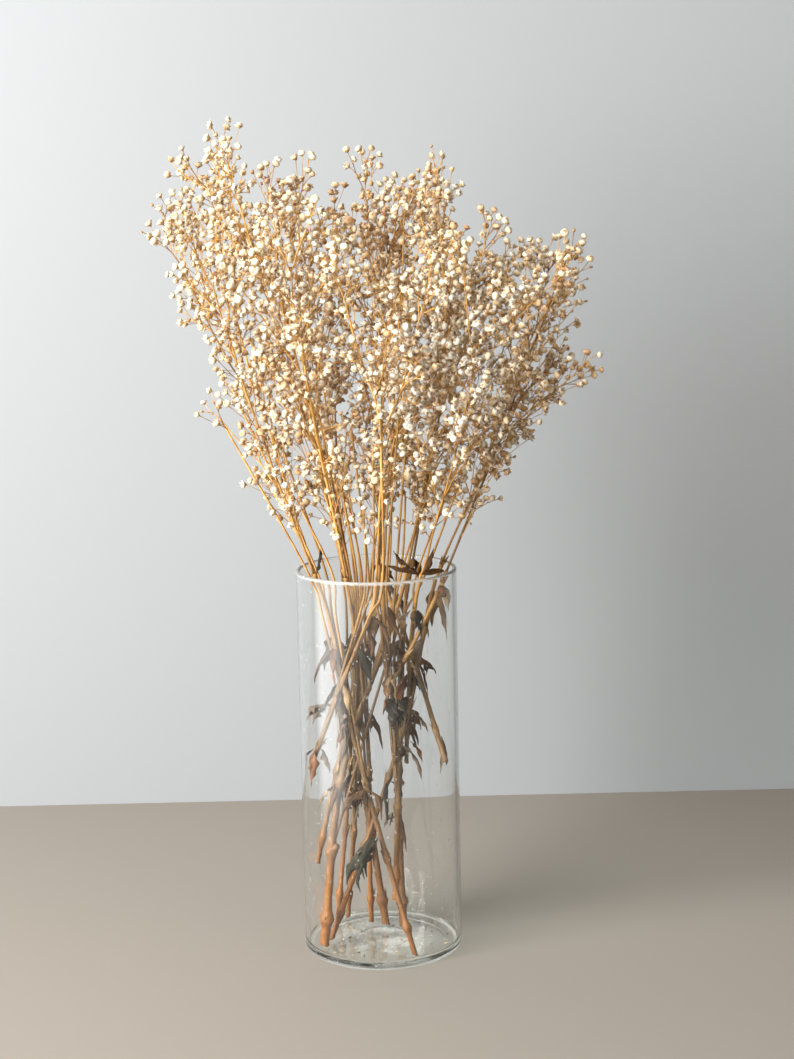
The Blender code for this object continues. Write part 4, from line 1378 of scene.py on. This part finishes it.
def crowd_at(place, taken):
    """How many blooms are near a place, and how many are in front of it or behind it."""
    apart = taken - place
    near = (np.linalg.norm(apart, axis=1) < CROWD_REACH).sum()
    return near + (np.hypot(apart[:, 0], apart[:, 2]) < SIGHT_REACH).sum()


def filler_offers(twigs, shape, count, draw):
    """Places for a side twig: a stretch of a twig, a root on it and a tip in the cloud, off to its side."""
    shortest, longest, spread = shape
    weights = np.array([np.linalg.norm(twig.points[-1] - twig.points[0]) for twig in twigs])
    offers = []
    for pick in draw.choice(len(twigs), size=count, p=weights / weights.sum()):
        twig = twigs[pick]
        at = draw.integers(len(twig.points) - 1)
        start, end = twig.points[at], twig.points[at + 1]
        root = start + draw.uniform(*FILLER_ROOT) * (end - start)
        if np.linalg.norm(end - start) < SHORTEST_STEP or root[2] < LOWEST_ROOT:
            continue
        way = unit(unit(end - start) + spread * unit(draw.normal(size=3)))
        tip = root + draw.uniform(shortest, longest) * way
        if in_cloud(tip):
            offers.append((twig, at, root, tip))
    return offers


def add_filler(twig, at, root, tip, draw):
    """Grows a side twig with a few florets round its tip, and returns where they are."""
    florets = in_box(tip + FILLER_SPREAD * draw.normal(size=(draw.integers(*FILLER_FLORETS), 3)))
    twig.points.insert(at + 1, root)
    twig.loads.insert(at + 1, twig.loads[at])
    twig.shoots.insert(at, branched(root, [florets]))
    return list(florets)


def high_forks(crown):
    """The forks of a crown where a second stalk may end."""
    forks = [fork for twig in crown.and_shoots() for fork in twig.points[1:-1]]
    return [fork for fork in forks if STALK_ENDS[0] < fork[2] < STALK_ENDS[1]]


@functools.cache
def lip_stalks():
    """For each stem, the thinner stalks that leave it low: where they cross the lip and where they end."""
    draw = np.random.default_rng(PLAN_SEED)
    stalks = {k: [] for k in range(len(STEMS))}
    forks = [(k, fork) for k, crown in enumerate(full_crowns()) for fork in high_forks(crown)]
    for crossing in LIP_CROSSINGS:
        slope = np.array(crossing) / (VASE_HEIGHT - APEX_Z)
        off_line = [np.linalg.norm(fork[:2] - slope * (fork[2] - APEX_Z)) for _, fork in forks]
        k, end = forks[int(np.argmin([off + draw.uniform(0, STALK_CHOICE) for off in off_line]))]
        stalks[k].append((np.array([*crossing, VASE_HEIGHT]), end))
    return stalks


def build_spray(k, kinds, scale, bract):
    """One cut stem with its knuckles, twigs, bracts and blooms, as one piece."""
    stem = STEMS[k]
    routes, stem_sizes, _, _ = plan()
    draw = np.random.default_rng((PLAN_SEED, k))
    crown = full_crowns()[k]
    points, radii = stem_line(routes[k], stem_sizes[k], draw)
    knuckles = knuckle_stations(points)
    shade = STEM_SHADES.get(stem.name, draw.uniform(*OTHER_STEM_SHADES))
    groups = {("stem", shade): [(points, radii)], ("branch", shade): stubs(points, radii, knuckles, draw)}
    for stalk in second_stalks(k, points, knuckles, crown, draw):
        groups.setdefault(("branch", draw.uniform(*STALK_SHADES)), []).append(stalk)
    shades, shares = list(TWIG_SHADES), list(TWIG_SHADES.values())
    for line, sizes, load in twig_lines(crown, draw):
        kind = "branch" if load >= BRANCH_LOAD else "pedicel"
        groups.setdefault((kind, draw.choice(shades, p=shares)), []).append((line, sizes))
    bm = bmesh.new()
    for (kind, tone), group in groups.items():
        if group:
            mesh = tubes_mesh(group, ROUNDNESS[kind])
            paint(mesh, straw_colours(places_of(mesh), tone))
            bm.from_mesh(mesh)
            bpy.data.meshes.remove(mesh)
    bmesh.ops.remove_doubles(bm, verts=bm.verts, dist=MERGE_DISTANCE)
    cut_foot(bm, points, radii, draw)
    add_sheaths(bm, scale, points, radii, knuckles, shade, draw)
    add_bracts(bm, bract, crown, draw)
    stem_faces = len(bm.faces)
    add_blooms(bm, kinds, crown, draw)
    for number, face in enumerate(bm.faces):
        face.material_index = int(number >= stem_faces)
    mesh = mesh_of(bm, stem.name)
    add_piece("dried_" + stem.name, mesh, [straw_finish(), petal_finish()], "dried_plant", stem.name)


def second_stalks(k, points, knuckles, crown, draw):
    """Lines and radii of thinner stalks that leave a knuckle, cross the lip and end at a fork above."""
    goals = list(lip_stalks()[k])
    ends = high_forks(crown)
    for _ in range(STALKS_PER_STEM if ends else 0):
        aside = draw.uniform(*STALK_BULGE) * unit(draw.normal(size=3) * (1, 1, 0))
        goals.append((points[-1] + aside, ends[draw.integers(len(ends))]))
    starts = [station for station in knuckles if STALK_STARTS[0] < points[station, 2] < STALK_STARTS[1]]
    lines = []
    for crossing, end in goals if starts else []:
        start = starts[draw.integers(len(starts))]
        half_way = (points[len(points) // 2 + start // 2] + crossing) / 2
        knots = np.array([points[start], half_way, crossing, end])
        stations = round(np.linalg.norm(np.diff(knots, axis=0), axis=1).sum() / BOW_SPAN)
        line = smooth_line(knots[np.argsort(knots[:, 2])], stations)
        sizes = np.linspace(*STALK_SIZES, stations)
        low = line[:, 2] < VASE_HEIGHT + STATION
        inner = line[low]
        keep_in_bore(inner, sizes[low])
        line[low] = inner
        lines.append((line, sizes))
    return lines


def stubs(points, radii, knuckles, draw):
    """Short broken side shoots at the lower knuckles."""
    lines = []
    for station in knuckles:
        if points[station, 2] > APEX_Z or draw.random() > STUB_SHARE:
            continue
        azimuth = draw.uniform(0, math.tau)
        way = unit(np.array([math.cos(azimuth), math.sin(azimuth), draw.uniform(*STUB_RISE)]))
        length = radii[station] + draw.uniform(*STUB_LENGTH)
        if np.linalg.norm((points[station] + length * way)[:2]) > BORE - STUB_MARGIN:
            way[:2] *= -1
        line = points[station] + np.outer(np.linspace(0, length, len(STUB_TAPER)), way)
        lines.append((line, radii[station] * np.array(STUB_TAPER)))
    return lines


def cut_foot(bm, points, radii, draw):
    """Cuts the stem's foot off at a slant and shows its pale pith."""
    layer = bm.verts.layers.float_color[TINT]
    azimuth = draw.uniform(0, math.tau)
    slant = Vector((math.cos(azimuth), math.sin(azimuth), 0)) * CUT_SLANT - Vector((0, 0, 1))
    at = Vector(points[0]) + Vector((0, 0, radii[0] * CUT_HEIGHT))
    top, reach = points[0, 2] + CUT_NEAR[0] * radii[0], CUT_NEAR[1] * radii[0]
    middles = [(face, face.calc_center_median()) for face in bm.faces]
    near = [face for face, middle in middles if middle.z < top and (middle - at).length < reach]
    geom = near + list({edge for face in near for edge in face.edges})
    geom += list({spot for face in near for spot in face.verts})
    cut = bmesh.ops.bisect_plane(bm, geom=geom, plane_co=at, plane_no=slant, clear_outer=True)["geom_cut"]
    rim = [edge for edge in cut if isinstance(edge, bmesh.types.BMEdge)]
    faces = bmesh.ops.holes_fill(bm, edges=rim)["faces"]
    bmesh.ops.inset_region(bm, faces=faces, thickness=radii[0] * CUT_RIM)
    for spot in {spot for face in faces for spot in face.verts}:
        spot[layer] = (*CUT_COLOUR, 1)


def add_sheaths(bm, scale, points, radii, knuckles, shade, draw):
    """Papery remains of a pair of leaf bases at each knuckle."""
    for station in knuckles:
        up = unit(points[min(station + 1, len(points) - 1)] - points[station - 1])
        first = draw.uniform(0, math.tau)
        for side in (0, math.pi):
            if draw.random() < SHEATH_LOST:
                continue
            out = np.array([math.cos(first + side), math.sin(first + side), 0])
            way = unit(up + draw.uniform(*SHEATH_LEAN) * out)
            length = draw.uniform(*SHEATH_LENGTH)
            place = points[station] + SHEATH_REACH * radii[station] * out
            colour = np.array(BRACT_COLOUR) * draw.uniform(*SHEATH_SHADES) * shade
            append(bm, scale, facing_out(place, way, length, out), colour)


def add_bracts(bm, bract, crown, draw):
    """A pair of tiny pointed bracts at each fork."""
    for twig in crown.and_shoots():
        for fork, load, shoot in zip(twig.points[1:], twig.loads, twig.shoots):
            way = unit(shoot.points[1] - fork)
            length = BRACT_LENGTH * (1 + min(load, BRACT_LOAD) / BRACT_LOAD)
            for spread in BRACT_SPREADS:
                aside = unit(way + spread * draw.normal(size=3))
                colour = np.array(BRACT_COLOUR) * draw.uniform(*BRACT_SHADES)
                size = length * draw.uniform(*BRACT_SIZES)
                append(bm, bract, placing(fork, aside, size, draw.uniform(0, math.tau)), colour)


def add_blooms(bm, kinds, crown, draw):
    """A bloom on the end of every twig, most of them along their stalk's way."""
    names, shares = list(BLOOM_SHARES), list(BLOOM_SHARES.values())
    for number, twig in enumerate(crown.and_shoots()):
        if number % TONE_RUN == 0:
            run_tone = draw.normal(*RUN_TONE)
        end, before = twig.points[-1], twig.points[-2]
        way = unit(unit(end - before) + NOD * draw.normal(size=3))
        kind = draw.choice(names, p=shares)
        template = kinds[kind][draw.integers(VARIANTS)]
        size = draw.uniform(*BLOOM_SIZES[kind])
        tint = bloom_tint(bloom_tone(end, run_tone, draw))
        append(bm, template, placing(end - BLOOM_SINK * way, way, size, draw.uniform(0, math.tau)), tint)


# Leaves


def new_blades():
    """A mesh in the making for blades, with their coordinates and colours."""
    bm = bmesh.new()
    bm.loops.layers.uv.new(BLADE_UV)
    bm.verts.layers.float_color.new(TINT)
    return bm


def add_blades(bm, name, *nodes):
    """Puts a mesh of blades in the scene, each with a thin wall of its own."""
    bmesh.ops.recalc_face_normals(bm, faces=bm.faces)
    piece = add_piece(name, mesh_of(bm, name), [leaf_finish()], "dried_leaf", *nodes)
    wall = piece.modifiers.new("Wall", "SOLIDIFY")
    wall.thickness = LEAF_WALL
    wall.offset = 0


def build_leaf(number, leaf, rib, colour, shreds, width_share):
    """A brittle leaf with its torn shreds: blades rolled in along their ribs."""
    draw = np.random.default_rng((PLAN_SEED, LEAF_SEED + number))
    bm = new_blades()
    half = leaf_half_widths(leaf) * width_share
    add_blade(bm, rib, half, LEAF_COLOURS[colour], draw)
    for _ in range(shreds):
        size = draw.uniform(*SHRED_SIZE)
        turn = math.radians(draw.uniform(*SHRED_TURN) * draw.choice((-1, 1)))
        spin = np.array(Matrix.Rotation(turn, 3, "Z") @ Matrix.Rotation(turn / 2, 3, "Y"))
        shred = rib[0] + size * (rib - rib[0]) @ spin.T
        add_blade(bm, shred, half * SHRED_WIDTH, LEAF_COLOURS[colour], draw)
    add_blades(bm, f"curled_leaf_{number:02d}", f"leaf_{number:02d}")


def build_strips():
    """Narrow withered leaves that hang from the knuckles inside the vase, as one piece."""
    draw = np.random.default_rng((PLAN_SEED, STRIP_SEED))
    routes, sizes, _, _ = plan()
    names, shares = list(STRIP_SHARES), list(STRIP_SHARES.values())
    lowest, highest = STRIP_HEIGHTS
    bm = new_blades()
    for k, (route, radii) in enumerate(zip(routes, sizes)):
        for height in route[knuckle_stations(route), 2]:
            for _ in range(draw.integers(*STRIPS_PER_KNUCKLE) if lowest < height < highest else 0):
                fall = draw.uniform(*STRIP_DROOP), draw.uniform(*STRIP_FALL)
                length, width = draw.uniform(*STRIP_LENGTH), draw.uniform(*STRIP_WIDTH)
                leaf = Leaf(k, height, draw.uniform(0, 360), fall, length, width, draw.uniform(*STRIP_CURL))
                rib = leaf_rib(leaf, route, radii, 0)
                colour = LEAF_COLOURS[draw.choice(names, p=shares)]
                add_blade(bm, rib, leaf_half_widths(leaf), colour, draw, STRIP_ALONG, STRIP_ACROSS)
    add_blades(bm, "withered_strips")


def add_blade(bm, rib, half_widths, colour, draw, rows=LEAF_ALONG, columns=LEAF_ACROSS):
    """One blade along a rib: rolled in, twisted and crumpled, in its own shade."""
    line = smooth_line(rib, rows + 1)
    half = np.interp(np.linspace(0, 1, rows + 1), np.linspace(0, 1, LEAF_STATIONS), half_widths)
    ways = unit(np.gradient(line, axis=0))
    sides = unit(np.cross(ways, (0, 0, 1)) + SIDE_LEAN * np.cross(ways, (1, 0, 0)))
    ups = np.cross(sides, ways)
    made = bmesh.ops.create_grid(bm, x_segments=columns, y_segments=rows, size=0.5, calc_uvs=True)["verts"]
    layer = bm.verts.layers.float_color[TINT]
    roll, twist = draw.uniform(*BLADE_ROLL), draw.uniform(*BLADE_TWIST)
    phases = draw.uniform(0, math.tau, 4)
    shade = np.array(colour) * draw.uniform(*BLADE_SHADES)
    for spot in made:
        across, along = 2 * spot.co.x, spot.co.y + 0.5
        at = round(along * rows)
        waves = {name: wave(shape, along, across, phases) for name, shape in WAVES.items()}
        bend = roll * along + LEAST_ROLL
        turned = twist * along**TWIST_POWER + waves["waver"]
        reach = half[at] * (1 + waves["edge"] + waves["nicks"])
        flat, lift = math.sin(bend * across) / bend * reach, (math.cos(bend * across) - 1) / bend * reach
        lift += reach * (abs(across) * waves["frill"] + waves["crumple"])
        side = math.cos(turned) * sides[at] + math.sin(turned) * ups[at]
        up = math.cos(turned) * ups[at] - math.sin(turned) * sides[at]
        spot.co = keep_off_glass(line[at] + flat * side + lift * up)
        spot[layer] = (*(shade * (1 + waves["tone"])), 1)


def wave(shape, along, across, phases):
    """How far a wave of a blade swings at a place on it."""
    strength, turns_along, turns_across, phase = shape
    return strength * math.sin(turns_along * along + turns_across * across + phases[phase])


def keep_off_glass(place):
    """The place, moved in from the wall of the vase if it lies in the glass."""
    reach = math.hypot(*place[:2])
    limit = BORE - CLEAR
    return place * (limit / reach, limit / reach, 1) if reach > limit and place[2] < GLASS_REACH else place


# Vase


def build_glass(sizes):
    """The vase: its section turned about the axis, with a round rim, a heel, a hollow and a faint ring."""
    rim, gap, ring = sizes.wall / 2, LOOP_GAP, RING_RADIUS
    outer, inner, top, floor = sizes.radius, sizes.radius - sizes.wall, sizes.height, sizes.floor
    hollow = outer - HOLLOW_EDGE - HOLLOW_SLOPE
    section = [
        *arc((outer - rim, top - rim), rim, 180, 0, RIM_POINTS),
        (outer, top - rim - gap), (outer, OUTER_CORNER + gap),
        *arc((outer - OUTER_CORNER, OUTER_CORNER), OUTER_CORNER, 0, -90, HEEL_POINTS),
        (outer - HOLLOW_EDGE, 0.0), (hollow, HOLLOW_RISE), (hollow - gap, HOLLOW_DEPTH), (0.0, HOLLOW_DEPTH),
        (0.0, floor), (ring - gap, floor), (ring, floor + RING_EDGE),
        (ring + RING_WIDTH / 2, floor + RING_RISE), (ring + RING_WIDTH, floor + RING_EDGE),
        (ring + RING_WIDTH + gap, floor),
        (inner - INNER_CORNER - gap, floor),
        *arc((inner - INNER_CORNER, floor + INNER_CORNER), INNER_CORNER, -90, 0, CORNER_POINTS),
        (inner, floor + INNER_CORNER + gap), (inner, top - rim - gap),
    ]
    bm = bmesh.new()
    spots = [bm.verts.new((side, 0, height)) for side, height in section]
    edges = [bm.edges.new(pair) for pair in zip(spots, spots[1:] + spots[:1])]
    axis_edge = next(edge for edge in edges if all(spot.co.x == 0 for spot in edge.verts))
    bm.edges.remove(axis_edge)
    edges.remove(axis_edge)
    turn = {"cent": (0, 0, 0), "axis": (0, 0, 1), "angle": math.tau, "steps": sizes.steps, "use_merge": True}
    bmesh.ops.spin(bm, geom=spots + edges, **turn)
    bmesh.ops.remove_doubles(bm, verts=bm.verts, dist=MERGE_DISTANCE)
    bmesh.ops.recalc_face_normals(bm, faces=bm.faces)
    glass = glass_finish(tuple(sizes.tint))
    add_piece("clear_glass_vase", mesh_of(bm, "vase"), [glass], "clear_glass", "glass_vase")


def arc(centre, radius, first, last, count):
    """Points of an arc of the section, in degrees from its outward side."""
    angles = np.radians(np.linspace(first, last, count))
    return [(centre[0] + radius * math.cos(a), centre[1] + radius * math.sin(a)) for a in angles]


def build_crumbs(scale):
    """Fallen bits of petal, bract and leaf on the vase's floor."""
    draw = np.random.default_rng((PLAN_SEED, CRUMB_SEED))
    routes, sizes, _, _ = plan()
    feet = [(route[0, :2], radius[0]) for route, radius in zip(routes, sizes)]
    bm = bmesh.new()
    for _ in range(CRUMBS):
        reach, azimuth = (BORE - CRUMB_MARGIN) * math.sqrt(draw.random()), draw.uniform(0, math.tau)
        place = np.array([reach * math.cos(azimuth), reach * math.sin(azimuth), FLOOR + CRUMB_LIFT])
        if min(np.linalg.norm(place[:2] - foot) - radius for foot, radius in feet) < CRUMB_GAP:
            continue
        way = unit(np.array([draw.normal(), draw.normal(), CRUMB_TILT]))
        colour = np.array(PETAL if draw.random() < PETAL_CRUMBS else BRACT_COLOUR)
        colour = colour * draw.uniform(*CRUMB_SHADES)
        append(bm, scale, placing(place, way, draw.uniform(*CRUMB_SIZE), draw.uniform(0, math.tau)), colour)
    add_piece("fallen_crumbs", mesh_of(bm, "crumbs"), [petal_finish()], "dried_plant")


# Stage


def build_stage(settings):
    """A pale floor, a plain backdrop, soft light from both sides, a window's reflection and the camera."""
    upright = math.pi / 2
    floor = add_plane("stage_floor", FLOOR_SIZE)
    floor.data.materials.append(stage_finish("stage_floor", tuple(settings.floor)))
    behind = (0, BACKDROP_AT, BACKDROP_SIZE[1] / 2)
    backdrop = add_plane("stage_backdrop", BACKDROP_SIZE, behind, (upright, 0, 0))
    backdrop.data.materials.append(stage_finish("stage_backdrop", tuple(settings.backdrop)))
    add_light("window", settings.window, *WINDOW_LIGHT)
    add_light("room", settings.room, *ROOM_LIGHT)
    card = add_plane("stage_window_card", CARD_SIZE, CARD_AT, (upright, 0, math.radians(CARD_TURN)))
    card.data.materials.append(card_finish(settings.reflection))
    card.visible_camera = card.visible_diffuse = card.visible_shadow = card.visible_transmission = False
    add_surround(settings.surround, settings.glass_surround)
    add_camera()
    bpy.context.scene.view_settings.view_transform = "Standard"
    bpy.context.scene.cycles.use_denoising = True


def add_plane(name, size, place=(0, 0, 0), turns=(0, 0, 0)):
    """A flat surface of the stage."""
    bpy.ops.mesh.primitive_plane_add(size=1, location=place, rotation=turns)
    plane = bpy.context.object
    plane.name = name
    plane.scale = (*size, 1)
    return plane


def add_camera():
    """The camera at the photograph's viewing angle."""
    data = bpy.data.cameras.new("camera")
    data.lens, data.sensor_width = CAMERA_LENS, CAMERA_SENSOR
    camera = bpy.data.objects.new("camera", data)
    bpy.context.scene.collection.objects.link(camera)
    yaw = Matrix.Rotation(math.radians(-CAMERA_YAW), 4, "Z")
    pitch = Matrix.Rotation(math.radians(90 - CAMERA_PITCH), 4, "X")
    roll = Matrix.Rotation(math.radians(CAMERA_ROLL), 4, "Z")
    camera.matrix_world = Matrix.Translation(CAMERA_AT) @ (yaw @ pitch) @ roll
    bpy.context.scene.camera = camera


def add_surround(strength, glass_strength):
    """Even light from all round, brighter where the glass shows it."""
    world = bpy.data.worlds.new("studio")
    bpy.context.scene.world = world
    world.use_nodes = True
    tree = world.node_tree
    background = tree.nodes["Background"]
    background.inputs["Color"].default_value = SURROUND_COLOUR
    path = tree.nodes.new("ShaderNodeLightPath")
    span = tree.nodes.new("ShaderNodeMapRange")
    span.inputs["To Min"].default_value = glass_strength
    span.inputs["To Max"].default_value = strength
    tree.links.new(path.outputs["Is Diffuse Ray"], span.inputs["Value"])
    tree.links.new(span.outputs[0], background.inputs["Strength"])


def card_finish(strength):
    """A soft-edged glow, for the card that shows only as a window's reflection in the glass."""
    finish = Finish("stage_window_card", Base_Color=(0, 0, 0, 1), Roughness=1.0, Specular_IOR_Level=0.0)
    across, up, _ = finish.axes(finish.node("ShaderNodeTexCoord", output="Object"))
    glow = finish.span(abs(across), *CARD_SIDES, 1.0, 0.0) * finish.span(up, *CARD_LOWER)
    finish.drive(Emission_Color=finish.mix(glow, (0, 0, 0, 1), CARD_COLOUR), Emission_Strength=strength)
    return finish.material


def add_light(name, watts, width, height, place, target, colour):
    """A wide soft light that points at the target."""
    data = bpy.data.lights.new(name, "AREA")
    data.shape = "RECTANGLE"
    data.size, data.size_y, data.energy, data.color = width, height, watts, colour
    light = bpy.data.objects.new(name, data)
    bpy.context.scene.collection.objects.link(light)
    way = Vector(target) - Vector(place)
    light.matrix_world = Matrix.Translation(place) @ way.to_track_quat("-Z", "Y").to_matrix().to_4x4()


# Settings, operators and panel


def number_setting(name, about, default, **more):
    """A setting that is a number."""
    return bpy.props.FloatProperty(name=name, description=about, default=default, **more)


def colour_setting(name, about, default):
    """A setting that is a colour."""
    words = {"name": name, "description": about}
    return bpy.props.FloatVectorProperty(**words, default=default, size=4, subtype="COLOR")


class VaseSettings(bpy.types.PropertyGroup):
    """Sizes and colour of the vase."""

    radius: number_setting("Radius", "Outer radius of the cylinder", VASE_RADIUS, unit="LENGTH")
    height: number_setting("Height", "Height from the base to the rim", VASE_HEIGHT, unit="LENGTH")
    wall: number_setting("Wall", "Thickness of the glass wall", WALL, unit="LENGTH")
    floor: number_setting("Floor", "Thickness of the glass floor", FLOOR, unit="LENGTH")
    steps: bpy.props.IntProperty(name="Steps", description="Faces round the cylinder", default=128)
    tint: colour_setting("Tint", "Colour of the glass", (0.99, 0.995, 0.99, 1))


class PlantSettings(bpy.types.PropertyGroup):
    """Sizes of what grows."""

    leaf_width: number_setting("Leaf width", "Share of the frame's leaf width", 1.3, subtype="FACTOR")


class StageSettings(bpy.types.PropertyGroup):
    """Light and colours of the stage."""

    floor: colour_setting("Floor", "Colour of the floor", (0.29, 0.265, 0.235, 1))
    backdrop: colour_setting("Backdrop", "Colour of the backdrop", (0.335, 0.353, 0.368, 1))
    window: number_setting("Window", "Power of the wide light on the left, in watts", 78.0)
    room: number_setting("Room", "Power of the light on the right, in watts", 7.0)
    surround: number_setting("Surround", "Strength of the light from all round", 0.26)
    glass_surround: number_setting("Glass surround", "Its strength as the glass shows it", 0.85)
    reflection: number_setting("Reflection", "Strength of the window's reflection", 7.5)


class GYPSOPHILA_OT_vase(bpy.types.Operator):
    """Builds the glass vase"""

    bl_idname = "gypsophila.vase"
    bl_label = "Glass vase"

    def execute(self, context):
        build_glass(context.scene.gypsophila_vase)
        return {"FINISHED"}


class GYPSOPHILA_OT_sprays(bpy.types.Operator):
    """Builds every cut stem with its twigs and blooms"""

    bl_idname = "gypsophila.sprays"
    bl_label = "Dried sprays"

    def execute(self, context):
        templates = bloom_kinds(), scale_mesh(), bract_mesh()
        for k in range(len(STEMS)):
            build_spray(k, *templates)
        return {"FINISHED"}


class GYPSOPHILA_OT_leaves(bpy.types.Operator):
    """Builds the curled leaves and the withered strips"""

    bl_idname = "gypsophila.leaves"
    bl_label = "Curled leaves"

    def execute(self, context):
        width = context.scene.gypsophila_plant.leaf_width
        for number, (leaf, rib) in enumerate(zip(LEAVES, plan()[3]), 1):
            build_leaf(number, leaf, rib, *LEAF_LOOKS[number - 1], width)
        build_strips()
        return {"FINISHED"}


class GYPSOPHILA_OT_crumbs(bpy.types.Operator):
    """Scatters the fallen crumbs on the vase's floor"""

    bl_idname = "gypsophila.crumbs"
    bl_label = "Fallen crumbs"

    def execute(self, context):
        build_crumbs(scale_mesh())
        return {"FINISHED"}


class GYPSOPHILA_OT_stage(bpy.types.Operator):
    """Builds the floor, backdrop, lights and camera"""

    bl_idname = "gypsophila.stage"
    bl_label = "Stage"

    def execute(self, context):
        build_stage(context.scene.gypsophila_stage)
        return {"FINISHED"}


class GYPSOPHILA_PT_panel(bpy.types.Panel):
    """Lists the settings and the pieces"""

    bl_idname = "GYPSOPHILA_PT_panel"
    bl_label = "Dried gypsophila"
    bl_space_type = "VIEW_3D"
    bl_region_type = "UI"
    bl_category = "Gypsophila"

    def draw(self, context):
        for group in SETTINGS:
            settings = getattr(context.scene, group)
            for key in settings.__annotations__:
                self.layout.prop(settings, key)
        for operator in OPERATORS:
            self.layout.operator(operator.bl_idname)


SETTINGS = {
    "gypsophila_vase": VaseSettings,
    "gypsophila_plant": PlantSettings,
    "gypsophila_stage": StageSettings,
}
OPERATORS = [
    GYPSOPHILA_OT_stage, GYPSOPHILA_OT_vase, GYPSOPHILA_OT_sprays, GYPSOPHILA_OT_leaves, GYPSOPHILA_OT_crumbs,
]
CLASSES = [*SETTINGS.values(), *OPERATORS, GYPSOPHILA_PT_panel]


def register():
    """Makes the settings, operators and panel known to Blender."""
    for made in CLASSES:
        bpy.utils.register_class(made)
    for name, group in SETTINGS.items():
        setattr(bpy.types.Scene, name, bpy.props.PointerProperty(type=group))


def unregister():
    """Takes the settings, operators and panel away again."""
    for name in SETTINGS:
        delattr(bpy.types.Scene, name)
    for made in reversed(CLASSES):
        bpy.utils.unregister_class(made)


def main():
    """Builds the stage and every piece."""
    register()
    bpy.ops.gypsophila.stage()
    bpy.ops.gypsophila.vase()
    bpy.ops.gypsophila.sprays()
    bpy.ops.gypsophila.leaves()
    bpy.ops.gypsophila.crumbs()


if __name__ == "__main__":
    main()
